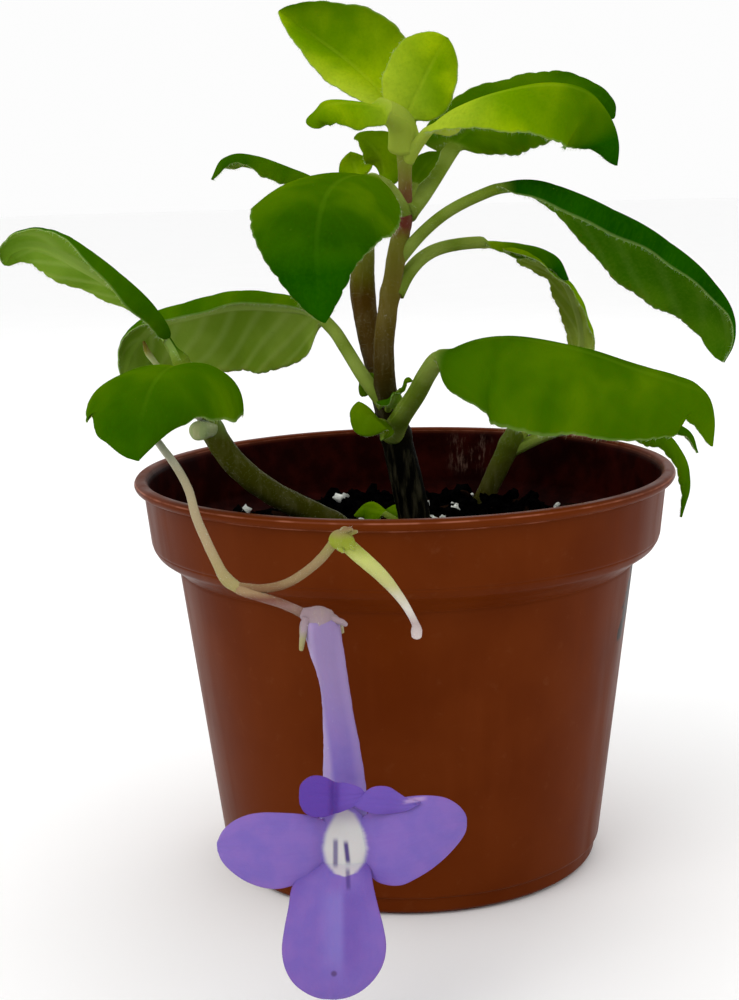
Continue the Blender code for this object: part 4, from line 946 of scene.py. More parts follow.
# potting mix: a lumpy top over a plain block, with crumbs and perlite bits strewn on it
soilPlan = {
    "level": 54.0, "steps": 220, "rings": 64, "reach": 36.5, "middle": 0.4,
    # radius and height of the block's underside and wall
    "wall": [(0.4, 1.5), (22.0, 1.5), (30.0, 1.6), (30.6, 3.4), (33.4, 26.0), (36.3, 51.6)],
    # height, size and seed of the top's soft noise
    "lumps": [(0.55, 2.6, 5), (0.35, 1.1, 6), (0.2, 0.6, 7)],
    # crumbs, perlite and bark: count, reach, smallest, largest, lift, squash and seed
    "grains": [
        (1100, 35.2, 0.35, 1.7, 0.25, 0.8, 21), (34, 35.0, 0.5, 1.3, 0.5, 0.9, 31),
        (60, 34.5, 0.7, 2.2, 0.3, 0.35, 41),
    ],
    # the pale bits that show from the front: right, depth and size
    "bits": [(-11.5, 28.3, 0.8), (-10.4, 32.2, 0.6), (-28.3, 21, 1), (-28.4, 16.4, 0.7),
        (9.5, 21.5, 0.7), (9.1, 13.2, 1), (6.6, 5.5, 0.6), (19.5, 9.1, 0.8), (20.2, 11.7, 0.5),
        (27.7, 19, 0.5), (26.6, 10.8, 0.5), (13, 28.8, 0.5), (30, 11.3, 0.5)],
    # names, darkest and lightest colour and roughness of the three finishes
    "finishes": [
        ("darkMix", (0, 0, 1), (7, 6, 6), 0.95),
        ("perliteWhite", (196, 198, 192), (240, 242, 236), 0.9),
        ("barkBrown", (20, 10, 6), (40, 24, 14), 0.9),
    ],
}


def soilMaterial(name, dark, light, rough):
    brush = Brush(name, rough, 0.0)
    spots = brush.places()
    blots = brush.noise(spots, 1.6, 5.0, 0.65)
    grain = brush.noise(spots, 0.3, 4.0, 0.65)
    brush.body = brush.mix(blots.step(0.35, 0.7), dark, light)
    height = blots * 0.8 + grain * 0.5
    return brush.finish(grain.step(0.3, 0.7, rough - 0.25, rough), height, 0.9, 0.0004)


def soilHeight(x, y):
    # crossing waves and a mound by the main stem, as in the solid
    ripple = 0.5 * np.sin(0.33 * x + 1.0) * np.cos(0.29 * y)
    lumps = 0.35 * np.sin(0.71 * x - 0.4 * y) + 0.3 * np.cos(0.55 * y + 0.8 * x)
    mound = 1.2 * np.exp(-((x - 1.5) ** 2 + (y + 1.0) ** 2) / 90.0)
    return soilPlan["level"] + plantLift + ripple + lumps + mound


def blobs(places, sizes, squash, seed):
    # rough grains: one icosphere, its points pushed in and out by seeded noise, at each place
    draw = np.random.default_rng(seed)
    ball = bpy.data.meshes.new("ballPlan")
    shape = bmesh.new()
    bmesh.ops.create_icosphere(shape, subdivisions=2, radius=1.0)
    shape.to_mesh(ball)
    shape.free()
    corners = np.empty(len(ball.vertices) * 3)
    ball.vertices.foreach_get("co", corners)
    corners = corners.reshape(-1, 3)
    faces = np.array([face.vertices[:] for face in ball.polygons])
    bpy.data.meshes.remove(ball)
    count = len(places)
    push = 1 + 0.24 * draw.normal(size=(count, len(corners), 1)).clip(-1.6, 1.6)
    stretch = draw.uniform(0.6, 1.25, (count, 1, 3)) * [1, 1, squash]
    axis, other = unit(draw.normal(size=(2, count, 3)))
    third = unit(np.cross(axis, other))
    turn = np.stack([axis, third, np.cross(axis, third)], -1)
    points = np.einsum("nij,npj->npi", turn, corners[None] * push * stretch)
    points = points * sizes[:, None, None] + places[:, None]
    faces = faces[None] + len(corners) * np.arange(count)[:, None, None]
    return {"points": points.reshape(-1, 3), "faces": faces.reshape(-1, 3).tolist()}


def strewn(count, reach, low, high, lift, squash, seed):
    draw = np.random.default_rng(seed)
    x, y = polar(reach * np.sqrt(draw.uniform(0, 1, count)), draw.uniform(0, 6.283, count))
    sizes = low * (high / low) ** draw.uniform(0, 1, count) ** 1.6
    return blobs(triple(x, y, soilHeight(x, y) + sizes * lift), sizes, squash, seed + 1)


def makeSoil(plan):
    wall = np.array(plan["wall"])
    rings = np.linspace(plan["reach"], plan["middle"], plan["rings"])
    x, y = polar(np.concatenate([wall[:, 0], rings])[:, None], bearings(plan["steps"]))
    z = soilHeight(x, y)
    spots = triple(x, y, z)
    z = z + sum(height * waveNoise(spots, size, seed) for height, size, seed in plan["lumps"])
    z[: len(wall)] = wall[:, 1:]
    z[len(wall)] = np.minimum(z[len(wall)], plan["level"])
    parts = [closedTube(triple(x, y, z)[:, ::-1])]
    parts += [dict(strewn(*row), material=number) for number, row in enumerate(plan["grains"])]
    x, y, sizes = np.array(plan["bits"]).T
    bits = blobs(triple(x, y, soilHeight(x, y) + 0.9), sizes, 1.0, 51)
    parts.append(dict(bits, material=1))
    finishes = [soilMaterial(*row) for row in plan["finishes"]]
    return makePiece("pottingMix", parts, finishes, "potting_mix", "soil")


makeSoil(soilPlan)
print("soil filled")


# stems and stalks: round rods with swollen nodes, faint ridges and hairs. Each point of a path is a
# place and a radius; stops are colours by height, spread between the two heights of span
stems = {
    "main_stem": dict(
        path=[(2.4, 0, 47, 2.7), (1.6, -1.5, 57, 2.7), (0, -2, 65.4, 2.65), (-1.4, -2, 72.2, 2.4),
            (-2.6, -2.8, 77.4, 2.05), (-2.9, -3.8, 82.1, 1.75), (-2.8, -4, 87.2, 1.65),
            (-2.1, -4, 92.1, 1.6), (-1.2, -4, 97, 1.55), (-0.3, -4, 101.8, 1.55),
            (0.6, -3.5, 105.8, 1.4), (1.1, -3, 109.7, 1.15), (1.2, -2.6, 114.3, 1.15),
            (1.4, -2.4, 118, 1.5), (1.5, -2.3, 120.4, 1.7)],
        stops=[(50, 1, 1, 1), (69, 3, 3, 1), (74, 22, 18, 3), (80, 48, 40, 5), (86, 68, 52, 10),
            (93, 98, 84, 28), (100, 98, 92, 28), (104.5, 104, 104, 32), (106, 98, 44, 34),
            (108.5, 98, 52, 36), (112, 104, 74, 40), (115, 118, 122, 42), (119, 136, 152, 56)],
        span=(50, 122), streaks=0.08, skin="mainStemSkin", slot="old_stem", hair=1.3, hairLength=1,
        swell=(71.5, 95, 106.5),
    ),
    "left_stem": dict(
        path=[(-4.3, -11, 45.9, 2), (-6.8, -12.2, 53.5, 2), (-11.2, -13.4, 58.6, 1.95),
            (-15.6, -14.4, 61.3, 1.95), (-21.2, -16, 64.7, 1.95), (-26.1, -17, 68.9, 1.95),
            (-29.2, -17.2, 73.2, 1.9), (-31, -17, 77, 1.6)],
        stops=[(50, 26, 30, 2), (60, 54, 54, 2), (74, 58, 60, 3), (77, 86, 104, 44)],
        span=(48, 82), streaks=0.08, skin="leftStemSkin", slot="young_stem", hair=2, hairLength=0.9,
        swell=(75.5,),
    ),
    "right_stem": dict(
        path=[(12, 27, 47.5, 1.8), (14.9, 27, 54, 1.8), (17.2, 27, 58.9, 1.8),
            (19.5, 27, 63.5, 1.9), (21, 27, 66.6, 1.8)],
        stops=[(52, 26, 26, 4), (56, 54, 52, 8), (62, 68, 72, 12), (67, 76, 92, 14)],
        span=(48, 72), streaks=0.08, skin="rightStemSkin", slot="young_stem", hair=2,
        hairLength=0.8, swell=(64.5,),
    ),
    "rear_shoot": dict(
        path=[(-3.1, -1.3, 75, 1.5), (-4.1, 3, 80.8, 1.65), (-5.1, 5.2, 86.3, 1.85),
            (-5.8, 7.2, 91.2, 2.05), (-6.1, 8.2, 95.2, 2.15), (-5.7, 9, 101.3, 1.8),
            (-4.9, 9, 108, 1.5), (-3.9, 9, 113.2, 1.3)],
        stops=[(74, 14, 10, 2), (79, 42, 34, 4), (84, 72, 54, 22), (89, 68, 50, 10),
            (94, 66, 45, 4), (97, 76, 70, 6), (101, 96, 100, 30), (113, 150, 164, 92)],
        span=(72, 118), streaks=0.06, skin="rearShootSkin", slot="old_stem", hair=1.5,
        hairLength=0.8, swell=(107.5,),
    ),
    "cut_shoot": dict(
        path=[(-30.3, -17.4, 75.6, 1.3), (-31.2, -21, 75.9, 1.45), (-31.8, -24, 76.2, 1.5)],
        stops=[(60, 110, 128, 74), (90, 150, 164, 112)],
        span=(60, 90), streaks=0.5, skin="cutShootSkin", slot="young_stem", hair=7, hairLength=0.8,
    ),
    "dried_stalk": dict(
        path=[(-29.4, -17, 74.4, 0.5), (-32.4, -13, 76.8, 0.45), (-36.6, -11.8, 81.6, 0.4),
            (-39.1, -12, 85.2, 0.42), (-40.4, -12.3, 87.2, 0.5), (-40.9, -12.5, 88.9, 0.22)],
        stops=[(76, 150, 156, 110), (86.8, 152, 160, 108), (88, 112, 108, 40), (89.4, 84, 70, 16)],
        span=(76, 92), streaks=0.2, rough=0.8, wander=0.3, skin="driedSkin", slot="dry_tissue",
        hair=2, hairLength=0.4,
    ),
    "flower_stalk": dict(
        path=[(-30, -17.4, 75.8, 0.7), (-33, -24, 79.1, 0.6), (-35.5, -36, 80.2, 0.55),
            (-36.8, -42, 79.2, 0.55), (-35.2, -45, 77.4, 0.55), (-33, -48, 75.1, 0.58),
            (-31, -51, 72.2, 0.6), (-29.6, -54, 68.3, 0.65), (-26.6, -58, 62.6, 0.7),
            (-25.4, -58.8, 60.9, 0.78), (-24, -59.2, 59.9, 0.72)],
        stops=[(58, 150, 146, 84), (61, 150, 138, 90), (66, 158, 138, 106), (71, 158, 144, 114),
            (75, 146, 138, 112), (78, 178, 178, 160)],
        span=(56, 82), streaks=0.1, skin="flowerStalkSkin", slot="flower_stalk", hair=3.6,
        hairLength=0.3, swell=(60.9,),
    ),
    "spent_flower_stalk": dict(
        path=[(-24, -59.2, 60, 0.7), (-22.9, -59.3, 59.9, 0.65), (-20.6, -59.6, 59.8, 0.62),
            (-17.7, -59.9, 60.4, 0.62), (-15, -60.1, 61.9, 0.62), (-12.8, -60.1, 63.7, 0.64),
            (-11.4, -60.1, 65.3, 0.66), (-10.7, -60.1, 66.2, 0.7)],
        stops=[(60.6, 118, 88, 62), (61.4, 134, 110, 78), (64, 142, 122, 88), (67, 136, 130, 72)],
        span=(58, 68), streaks=0.08, wander=0.3, skin="spentStalkSkin", slot="flower_stalk", hair=4,
        hairLength=0.35,
    ),
    "open_flower_stalk": dict(
        path=[(-24, -59.3, 59.8, 0.7), (-22.9, -59.7, 59.4, 0.68), (-20.8, -60, 58.7, 0.66),
            (-18.3, -60.3, 57.9, 0.64), (-15.9, -60.5, 56.8, 0.66), (-14.5, -60.7, 56, 0.72)],
        stops=[(57, 120, 94, 82), (58.2, 130, 100, 94), (59.1, 112, 72, 60), (60, 148, 122, 90)],
        span=(55, 62), streaks=0.08, wander=0.2, skin="openStalkSkin", slot="flower_stalk", hair=4,
        hairLength=0.35,
    ),
    "spent_pistil": dict(
        path=[(-9.9, -60.2, 66.5, 0.8), (-9.5, -60.2, 66.2, 0.95), (-8.2, -60.4, 64.9, 1.05),
            (-4.9, -61, 61.9, 0.95), (-2.8, -61.2, 59.4, 0.7), (-1.4, -61.2, 57.3, 0.55),
            (-0.2, -61.2, 54.9, 0.5), (0, -61.2, 53.9, 0.75), (0, -61.2, 53.1, 0.7)],
        stops=[(53, 206, 194, 192), (55.5, 176, 160, 158), (57.5, 206, 200, 190),
            (59.5, 196, 190, 162), (61, 180, 178, 116), (64.5, 182, 188, 104),
            (66.3, 138, 144, 56)],
        span=(52.5, 68), streaks=0.08, wander=0.3, skin="pistilSkin", slot="pistil_pale", hair=6,
        hairLength=0.22,
    ),
}


def rodGrid(path, columns, step, swell=()):
    # rings carried along the path and square to it, each with the path's own radius, swollen near
    # the heights of the nodes
    line, _, length = smoothPath(path, 400)
    line = pick(line, np.linspace(0, 1, 400), np.linspace(0, 1, max(12, int(length / step))))
    ahead = unit(np.gradient(line[:, :3], axis=0))
    across = unit(np.cross(ahead, np.array([0.31, 0.93, 0.12])))
    up = np.cross(ahead, across)
    turn = bearings(columns)
    x, y = polar(1.0, turn[:, None])
    spoke = x * across[:, None] + y * up[:, None]
    radius = line[:, 3]
    for height in swell:
        radius = radius * (1 + 0.13 * np.exp(-(((line[:, 2] - height) / 1.1) ** 2)))
    middle = line[:, None, :3]
    spots = middle + radius[:, None, None] * spoke
    relief = 0.025 * waveNoise(spots, 1.6, 3) + 0.012 * waveNoise(spots, 0.6, 4)
    relief = relief + 0.02 * np.sin(5 * turn)
    body = middle + (radius[:, None] * (1 + relief))[..., None] * spoke
    # a rounded end: the last ring shrinks as a quarter circle
    bow = np.linspace(0, 1, 8)[1:-1, None, None] * math.pi / 2
    end = line[-1, :3]
    dome = end + np.cos(bow) * (body[-1] - end) + np.sin(bow) * 0.7 * radius[-1] * ahead[-1]
    return np.concatenate([body, dome]) + [0, 0, plantLift], length


def stemMaterial(plan):
    # colour by height along the stem, in millimetres above the table
    rough, wander = plan.get("rough", 0.55), plan.get("wander", 1.0)
    low, high = plan["span"]
    brush = Brush(plan["skin"], rough, 0.02, 0.03)
    spots = brush.places()
    fine = brush.noise(spots, 0.4, 4.0, 0.6)
    lengthwise = brush.noise(spots, 1.2, 3.0, 0.6, (1.0, 1.0, 0.18))
    blots = brush.noise(spots, 3.0, 4.0, 0.6)
    height = brush.split(spots)[2] + blots.step(0.0, 1.0, -wander, wander)
    spot = brush.math("DIVIDE", height - low, high - low, clamp=True)
    stops = [((at - low) / (high - low), paint(*shade)) for at, *shade in plan["stops"]]
    brush.body = brush.ramp(spot, stops)
    brush.coat(lengthwise.step(0.45, 0.7) * plan["streaks"], (168, 160, 120))
    skin = fine.step(0.3, 0.7, rough - 0.12, rough + 0.12)
    return brush.finish(skin, fine * 0.5 + lengthwise, 0.5, 0.0003)


def makeStem(name, plan, seed):
    thick = max(row[3] for row in plan["path"])
    grid, length = rodGrid(plan["path"], 40 if thick > 1.4 else 24, 0.35, plan.get("swell", ()))
    count = int(length * 6.28 * thick * plan["hair"])
    first = 300 + seed * 10
    long = hairsOn(grid, count, plan["hairLength"], 0.022, first, True, 0.4, True)
    short = hairsOn(grid, 4 * count, 0.3 * plan["hairLength"], 0.02, first + 5, True, 0.4)
    parts = [closedTube(grid), dict(long, material=1), dict(short, material=1)]
    hair = barkHair if name == "main_stem" else paleHair
    return makePiece(name + "_rod", parts, [stemMaterial(plan), hair], plan["slot"], name)


for seed, (name, plan) in enumerate(stems.items(), 1):
    makeStem(name, plan, seed)
print("stems and stalks grown:", len(stems))


# flower: places on its face are millimetres to the right of the throat and above it
flowerPlan = {
    "throat": (-10.6, -72.5, 28.0), "right": (0.9997, 0.005, -0.0257),
    "up": (0.0262, 0.1897, 0.9815), "out": (0.0, -0.9818, 0.1898),
    # chords across each lobe from its base to its tip: one edge's place, then the other's; the two
    # upper lobes are folded forward and are drawn from their left end to their right one
    "lobes": {
        "lower": [(-2.7, -1.7, 3, -1.7), (-5.1, -3.5, 3.7, -3.3), (-6.6, -5.2, 4, -5.1),
            (-7.1, -7.9, 4.6, -7.6), (-7.6, -10.5, 5.3, -10.1), (-7.9, -13.1, 5.7, -12.7),
            (-7.5, -15.5, 5.3, -15.1), (-6.4, -17.5, 4.1, -17.2), (-4.7, -18.9, 2.5, -18.7),
            (-3, -19.7, 0.8, -19.6), (-1.5, -20, -0.7, -20)],
        "left": [(-1.7, 2.8, -2.2, -3), (-3.5, 3.7, -4.3, -4.5), (-5.6, 4.2, -6.7, -5.2),
            (-8.2, 4.4, -8.8, -5.6), (-10.6, 4.4, -10.9, -5.4), (-12.7, 4, -13, -4.6),
            (-14.6, 3, -14.8, -3.4), (-15.9, 1.7, -16, -2.2), (-16.7, 0.1, -16.6, -1)],
        "right": [(1.9, 3, 2.8, -3.3), (3.6, 4.4, 4.4, -4.7), (5.6, 5.5, 6.2, -5.2),
            (7.5, 6.2, 7.9, -5.1), (9.6, 6.5, 9.6, -4.3), (11.7, 6.5, 11.7, -3.1),
            (13.6, 6.1, 13.7, -1.6), (15.2, 5.1, 15.3, 0), (16.1, 4, 16.2, 1.3),
            (16.4, 3.2, 16.4, 2.2)],
        "upperLeft": [(-5.7, 6.6, -5.6, 5.6), (-5.5, 8.2, -5, 4.6), (-4.4, 9.2, -3.9, 4),
            (-3.2, 9.4, -2.7, 4), (-2, 9.1, -1.6, 4.2), (-1, 8.5, -0.8, 4.4), (0.2, 8.5, 0.1, 4.7),
            (1.5, 8.2, 1.2, 5.2), (2.4, 7.8, 2.2, 5.9), (2.9, 7.2, 2.7, 6.6)],
        "upperRight": [(1.6, 6.2, 1.5, 5.4), (2.6, 7, 2.4, 4.9), (3.8, 7.8, 3.6, 4.5),
            (5, 8, 4.9, 4.3), (6.2, 7.8, 6.3, 4.3), (7.3, 7.1, 7.7, 4.5), (8.4, 6.4, 8.8, 4.9),
            (9.4, 6, 9.6, 5.3), (10.2, 5.8, 10.2, 5.6)],
    },
    # how far each lobe comes forward along its length, how it bends across, how far its base dips,
    # the depth of its crease, how dark it is, its place in the stack, and whether its edges are
    # given the other way round
    "forms": {
        "lower": {"front": (3.4, 2.4, -1.0, 1.0), "keel": 0.9, "cup": 0.0, "dip": 0.7, "crease": 0.0,
                  "dark": 0.12, "lift": -0.25, "turned": True},
        "left": {"front": (1.6, 2.6, -2.4, 2.0), "keel": 0.0, "cup": -0.7, "dip": 0.7, "crease": 0.0,
                 "dark": 0.0, "lift": 0.0, "turned": True},
        "right": {"front": (1.6, 2.6, -2.4, 2.0), "keel": 0.0, "cup": -0.7, "dip": 0.7, "crease": 0.0,
                  "dark": 0.05, "lift": 0.0, "turned": False},
        "upperLeft": {"front": (0.5, 3.1, 0.0, 1.0), "keel": -0.2, "cup": -0.6, "dip": 0.0,
                      "crease": 0.55, "dark": 0.9, "lift": 1.5, "turned": False},
        "upperRight": {"front": (0.4, 3.1, -0.7, 2.0), "keel": -0.2, "cup": -0.6, "dip": 0.0,
                       "crease": 0.0, "dark": 0.8, "lift": 1.55, "turned": False},
    },
    "tube": [(-12.8, -61.1, 55.7, 2.1), (-12.7, -61.2, 54.8, 2.4), (-12.2, -61.6, 51.5, 2.3),
        (-11.3, -62.3, 47, 1.95), (-10.8, -63, 42, 2.1), (-10.4, -63.8, 37, 2.6),
        (-10.3, -65.4, 32.8, 3), (-10.5, -67.4, 30.6, 3.1), (-10.6, -68.9, 29.6, 3)],
    "thick": 0.24, "rows": 64, "columns": 41, "ruffle": 0.22,
}


def onFace(x, y, out):
    # a place on the flower's face, brought into the room
    plan = flowerPlan
    place = np.array(plan["throat"]) + [0, 0, plantLift] + x[..., None] * np.array(plan["right"])
    return place + y[..., None] * np.array(plan["up"]) + out[..., None] * np.array(plan["out"])


def lobePart(name, plan, seed):
    # a lobe between two edges: forward by a sine and a falling power along it, bent across by a
    # keel and a cup, with ruffles that grow towards the edges; front and back are one closed skin
    form = plan["forms"][name]
    edges, _, _ = smoothPath(plan["lobes"][name], plan["rows"])
    even = np.linspace(0, 1, plan["rows"])
    crowded = 0.35 * even + 0.65 * np.sin(even * math.pi / 2)
    edges = pick(edges, even, crowded)
    left, right = edges[:, None, :2], edges[:, None, 2:]
    if form["turned"]:
        left, right = right, left
    share = np.linspace(-1, 1, plan["columns"])[None, :]
    along = crowded[:, None]
    x, y = np.moveaxis(0.5 * (left + right) + 0.5 * share[..., None] * (right - left), -1, 0)
    off = np.abs(share)
    rise, bow, fall, power = form["front"]
    front = rise * np.sin(bow * along) + fall * along**power
    front = front + form["keel"] * (0.6 - off**1.3) * np.sin(math.pi * along**0.8)
    front = front + form["cup"] * (off**2 - 0.4) * np.sin(math.pi * along**0.9)
    ruffle = np.sin(7.0 * along + 2.0 * np.sign(share) + seed)
    ruffle = ruffle + 0.5 * np.sin(13.0 * along + seed * 2.0)
    front = front + plan["ruffle"] * off**3 * ruffle * easeStep(along, 0.1, 0.5)
    front = front + 0.05 * np.sin(share * 14) * (1 - off) * easeStep(along, 0.1, 0.4) + form["lift"]
    front = front - form["crease"] * np.exp(-(((x + 1.1) / 0.5) ** 2))
    front = front - form["dip"] * easeStep(along, 0.16, 0.0)
    half = 0.5 * plan["thick"] * (1 - 0.6 * off**4)
    face, back = onFace(x, y, front + half), onFace(x, y, front - half)
    part = closedTube(np.concatenate([face, back[:, ::-1]], 1))
    part["maps"] = {}
    petal = triple(share, along, form["dark"])
    for key, value, behind in (
        ("petalMap", petal, petal), ("facePlace", triple(x, y, 1.0), triple(x, y, 0.0)),
    ):
        both = np.concatenate([value, behind[:, ::-1]], 1).reshape(-1, 3)
        part["maps"][key] = np.vstack([both, both[:1], both[-1:]])
    return part


# throat: half-width and half-height of the dish, its middle, and what its hollow and pleat are
throatPlan = {
    "reach": (3.6, 4.7), "middle": (0.15, 0.6), "rings": 26, "steps": 64, "fall": 3.9,
    "pleat": 0.16, "pleatAt": (0.1, 0.6), "rim": 0.6, "front": 0.1, "thick": 0.5,
}


def throatPart(plan):
    # a shallow dish: deepest at its upper middle, level with the lobes at its lower lip; its
    # outline is a circle squeezed a little towards a kite
    turn = bearings(plan["steps"])[None, :]
    reach = np.linspace(1, 0.02, plan["rings"])[:, None]
    kite = 1 + 0.10 * np.cos(2 * turn) - 0.08 * np.sin(turn)
    x = plan["reach"][0] * reach * kite * np.cos(turn) + plan["middle"][0]
    y = plan["reach"][1] * reach * np.sin(turn) + plan["middle"][1]
    hollow = (1 - reach**2.2) * (0.5 + 0.5 * np.clip(y / plan["fall"], -1, 1))
    middle, width = plan["pleatAt"]
    pleat = plan["pleat"] * np.exp(-(((x - middle) / width) ** 2)) * easeStep(-y, -2.0, 1.0)
    front = plan["front"] - hollow + pleat * (1 - reach**3) - plan["rim"] * reach**5
    face, back = onFace(x, y, front), onFace(x, y, front - plan["thick"])
    part = closedTube(np.concatenate([face[::-1], back], 0))
    place = triple(x, y, 1.0)
    place = np.concatenate([place[::-1], place], 0).reshape(-1, 3)
    flat = np.zeros((len(part["points"]), 3))
    part["maps"] = {"facePlace": np.vstack([place, place[:1], place[-1:]]), "petalMap": flat}
    return part


petalPlan = {
    "dark": (112, 92, 170), "light": (122, 96, 172), "ray": (106, 80, 164),
    # painted light on the lower lobe's keel, painted shade on its right side, and painted shade at
    # the lobes' seams
    "keel": (130, 122, 192), "shade": (92, 66, 150), "seamShade": (78, 54, 144),
    # the upper lobes' deep violets, with painted shade along their crease
    "upperDark": (80, 48, 146), "upperLight": (98, 70, 162), "crease": (66, 36, 128),
    # the palate is white, greyed towards its top by painted shade
    "palate": (192, 189, 188), "palateShadedTop": (170, 160, 172), "dash": (64, 46, 112),
    "gleam": (190, 160, 200), "bruise": (70, 44, 84),
    "tube": (138, 118, 156), "tubeLeft": (168, 150, 190), "tubeRight": (160, 136, 186),
    # two soft dashes on the palate and a thin one below: middle, lean, lowest, highest, width, depth
    "dashes": [
        (-0.96, 0.0, -2.8, 0.7, 0.22, 0.75), (0.42, -0.12, -2.4, 0.4, 0.2, 0.95),
        (0.5, -0.05, -5.5, -3.0, 0.16, 0.7),
    ],
    # the palate's width by height, as shares
    "palateWidth": [(0.0, 0.0), (0.08, 0.5), (0.2, 0.74), (0.4, 0.82), (0.6, 0.76), (0.77, 0.6),
                    (0.88, 0.48), (1.0, 0.08)],
}


def paintLobes(brush, plan, x, y, share, along, dark):
    # the lower lobe: painted light on the keel left of its crease, and painted shade over its right
    # side
    lower = y.step(-4.5, -7.0) * y.step(-18.0, -13.0)
    brush.coat(x.step(-3.6, -0.8) * x.step(0.7, -0.4) * lower * 0.5, plan["keel"])
    brush.coat(x.step(-0.5, 0.7) * x.step(4.6, 1.0) * lower * 0.45, plan["shade"])
    # the upper lobes are deep violet, with painted shade darkest along the crease of the bow
    crease = (x + 1.1).line(0.15, 1.0) * y.step(3.8, 4.6)
    deep = brush.mix(x.step(-2.0, 1.5), plan["upperDark"], plan["upperLight"])
    deep = brush.mix(crease * 0.6, deep, plan["crease"])
    brush.coat(dark * x.step(10.5, 6.0, 0.35, 1.0), deep)
    # near the throat the lobes are painted a little darker at their seams, as shade where they meet
    seamShade = abs(share).step(0.45, 0.95) * along.step(0.42, 0.05) * y.step(2.0, -1.0, 0.2, 1.0)
    brush.coat(seamShade * 0.5, plan["seamShade"])


def paintFace(brush, plan, x, y, front, dark, rays):
    # white palate with soft edges, greyer at its top with painted shade
    stops = [(at, (wide, wide, wide, 1)) for at, wide in plan["palateWidth"]]
    spread = brush.ramp(brush.math("DIVIDE", y + 4.3, 9.5, clamp=True), stops)
    reach = abs(x - 0.3) + rays * 0.5 - (spread * 5.0 - 0.95)
    pale = brush.mix(y.step(4.6, 2.0), plan["palateShadedTop"], plan["palate"])
    brush.coat(reach.step(0.45, -0.45) * front * (1.0 - dark), pale)
    for middle, lean, low, high, wide, shade in plan["dashes"]:
        stroke = (x - middle - y * lean).line(wide * 0.5, 0.4)
        stroke = stroke * y.step(low - 0.4, low + 0.5) * y.step(high + 0.4, high - 0.5)
        brush.coat(stroke * shade * front, plan["dash"])
    # the right lobe's upper edge catches the light
    edge = (y - x * 0.1 - 5.1).line(0.1, 0.3) * x.step(7.6, 8.6) * x.step(11.4, 10.2)
    brush.coat(edge * 0.55 * front, plan["gleam"])
    # a small bruise near the lower lobe's tip
    bruise = ((x + 1.1) ** 2.0 + (y + 16.1) ** 2.0) ** 0.5
    brush.coat(bruise.step(0.55, 0.2) * 0.7 * front, plan["bruise"])


def paintTube(brush, plan, across, height, behind):
    # the tube pales towards the calyx, and is greyer along its middle, with a pale left edge
    brush.coat(height.step(33.0, 52.0) * behind * 0.85, plan["tube"])
    side = across - height.step(33.0, 55.0, -10.3, -12.6)
    tube = height.step(32.0, 35.0) * behind
    brush.coat(side.step(-0.9, -1.9) * tube * 0.6, plan["tubeLeft"])
    brush.coat(side.step(1.2, 2.2) * tube * 0.3, plan["tubeRight"])


def petalMaterial(plan):
    brush = Brush("violetPetal", 0.55, 0.15, 0.1)
    share, along, dark = brush.split(brush.attribute("petalMap"))
    x, y, front = brush.split(brush.attribute("facePlace"))
    spots = brush.places()
    across, _, height = brush.split(spots)
    grain = brush.noise(spots, 0.25, 3.0, 0.6)
    ray = brush.node("ShaderNodeCombineXYZ", {0: share * 9.0, 1: along * 1.5})
    rays = brush.noise(ray, 1.0, 3.0, 0.6)
    blots = brush.noise(spots, 2.6, 3.0)
    brush.body = brush.mix(blots.step(0.3, 0.7), plan["dark"], plan["light"])
    brush.coat(rays.step(0.45, 0.75) * 0.14, plan["ray"])
    paintLobes(brush, plan, x, y, share, along, dark)
    paintFace(brush, plan, x, y, front, dark, rays)
    paintTube(brush, plan, across, height, 1.0 - front)
    return brush.finish(grain.step(0.2, 0.8, 0.48, 0.64), grain * 0.5 + rays * 0.8, 0.35, 0.00025)


def makeCorolla(plan):
    grid, _ = rodGrid(plan["tube"], 64, 0.35)
    parts = [lobePart(name, plan, seed) for seed, name in enumerate(plan["lobes"], 1)]
    hairs = hairsOn(grid, 420, 0.28, 0.02, 920, True, 0.4, True)
    parts += [throatPart(throatPlan), closedTube(grid), dict(hairs, material=1)]
    skins = [petalMaterial(petalPlan), paleHair]
    return makePiece("violetBloom", parts, skins, "corolla_violet", "corolla")


makeCorolla(flowerPlan)

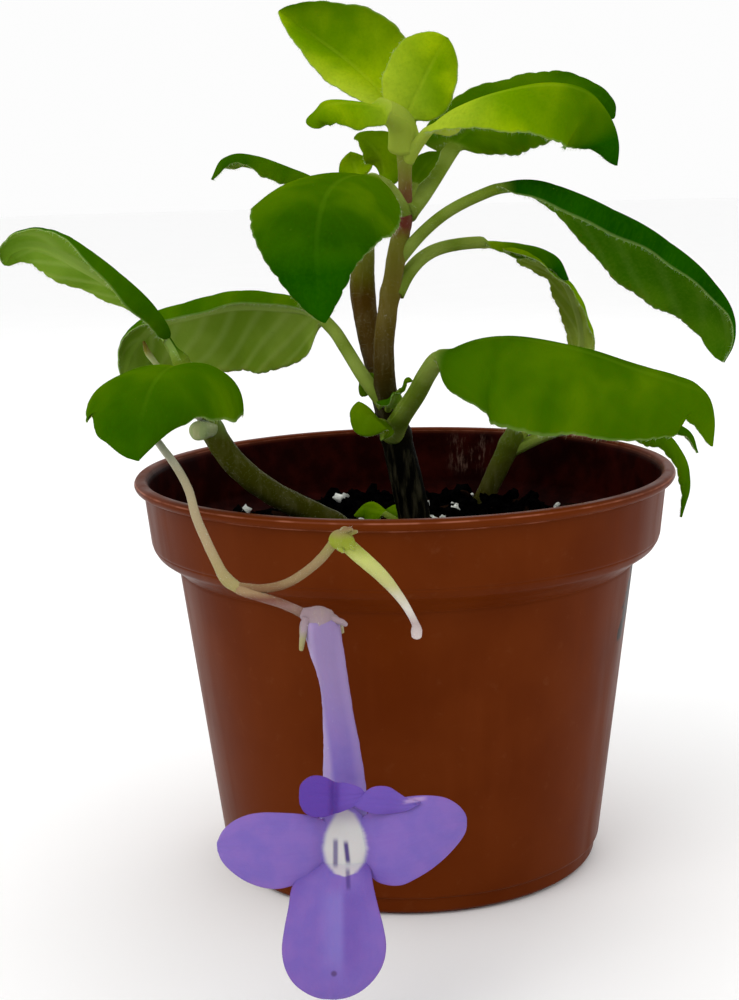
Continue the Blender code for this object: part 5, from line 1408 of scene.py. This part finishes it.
# calyces: narrow teeth on a small cup; each tooth is a tapering rod
calyces = {
    "open_flower_calyx": dict(
        cup=[(-15.4, -60.8, 56.6, 0.7), (-14.6, -61, 56.3, 1.2), (-13.6, -61.1, 55.9, 1.85),
            (-12.9, -61.2, 55.3, 2.3)],
        teeth=[
            [(-14.7, -61.9, 56.2, 0.6), (-15.1, -62.3, 54.6, 0.5), (-15.4, -62.4, 53.2, 0.42),
                (-15.6, -62.3, 51.9, 0.3)],
            [(-11.8, -62.1, 56.2, 0.55), (-10.7, -62.3, 55.8, 0.45), (-10, -62.4, 55.6, 0.4),
                (-9.5, -62.3, 55.2, 0.3)],
            [(-11.9, -60, 56, 0.55), (-10.9, -59.2, 55.2, 0.45), (-10.3, -58.8, 54.2, 0.38),
                (-10.1, -58.7, 53.2, 0.28)],
            [(-13.4, -59.2, 56, 0.55), (-13.6, -58.4, 54.8, 0.45), (-13.6, -58.2, 53.4, 0.38),
                (-13.5, -58.3, 52.2, 0.28)],
            [(-14.5, -60, 56, 0.55), (-15.3, -59.8, 54.8, 0.45), (-15.5, -59.7, 53.5, 0.38),
                (-15.5, -59.8, 52.4, 0.28)],
        ],
        stops=[(51, 150, 140, 84), (54, 150, 144, 104), (55.4, 150, 132, 142),
            (57.2, 142, 122, 128)],
        span=(49, 58), streaks=0.1, wander=0.3, skin="openCalyxSkin",
    ),
    "spent_flower_calyx": dict(
        cup=[(-11.2, -60.1, 65.9, 0.7), (-10.6, -60.2, 66.2, 1.25), (-9.9, -60.3, 66.4, 1.45),
            (-9.2, -60.4, 66.1, 1.25), (-8.8, -60.5, 65.6, 1)],
        teeth=[
            [(-9.8, -60.6, 67.2, 0.5), (-9.2, -60.8, 67.8, 0.4), (-8.4, -61, 68, 0.22)],
            [(-9.2, -60.2, 67, 0.5), (-8.4, -60.3, 67.4, 0.4), (-7.7, -60.4, 67.5, 0.22)],
            [(-9.8, -59.6, 67.2, 0.5), (-9.4, -59, 67.6, 0.4), (-8.9, -58.7, 67.6, 0.22)],
            [(-9, -61, 66, 0.45), (-8.5, -61.3, 65.6, 0.35), (-8.2, -61.4, 65.3, 0.22)],
            [(-10.2, -60.9, 65.6, 0.45), (-9.9, -61.2, 65.3, 0.35), (-9.6, -61.3, 65, 0.22)],
        ],
        stops=[(64.6, 150, 160, 60), (67.2, 132, 142, 44), (68, 134, 126, 70),
            (68.8, 128, 104, 76)],
        span=(63, 69.5), streaks=0.1, wander=0.3, skin="spentCalyxSkin",
    ),
}


def makeCalyx(name, plan, seed):
    parts = []
    for number, path in enumerate([plan["cup"]] + plan["teeth"]):
        columns, count = (24, 90) if number else (36, 160)
        grid, _ = rodGrid(path, columns, 0.18)
        hairs = hairsOn(grid, count, 0.4, 0.02, 500 + 20 * seed + number, True, 0.4, True)
        parts += [closedTube(grid), dict(hairs, material=1)]
    return makePiece(name + "_cup", parts, [stemMaterial(plan), paleHair], "calyx_green", name)


for seed, (name, plan) in enumerate(calyces.items(), 1):
    makeCalyx(name, plan, seed)
print("flower opened")


# floor: a wide disc just under the pot, in metres
floorPlan = {
    "radius": 4.0, "corners": 96, "drop": 0.0001,
    "dark": (0.96, 0.96, 0.96, 1.0), "light": (0.985, 0.985, 0.985, 1.0),
}


def makeFloor(plan):
    mesh = bpy.data.meshes.new("paleFloor")
    ring = triple(*polar(plan["radius"], bearings(plan["corners"])), -plan["drop"])
    mesh.from_pydata(ring.tolist(), [], [list(range(plan["corners"]))])
    floor = addObject("paleFloor", mesh)
    brush = Brush("palePaint", 0.8, 0.1)
    spots = brush.noise(brush.places(), 40.0, 3.0)
    brush.body = brush.mix(spots, plan["dark"], plan["light"])
    mesh.materials.append(brush.finish(spots.step(0.3, 0.7, 0.75, 0.85)))
    return floor


makeFloor(floorPlan)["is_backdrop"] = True
print("floor laid")

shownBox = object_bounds()
boxes = {"cad": cadBox, "shown": shownBox}
{key: [list(map(float, row)) for row in box] for key, box in boxes.items()}
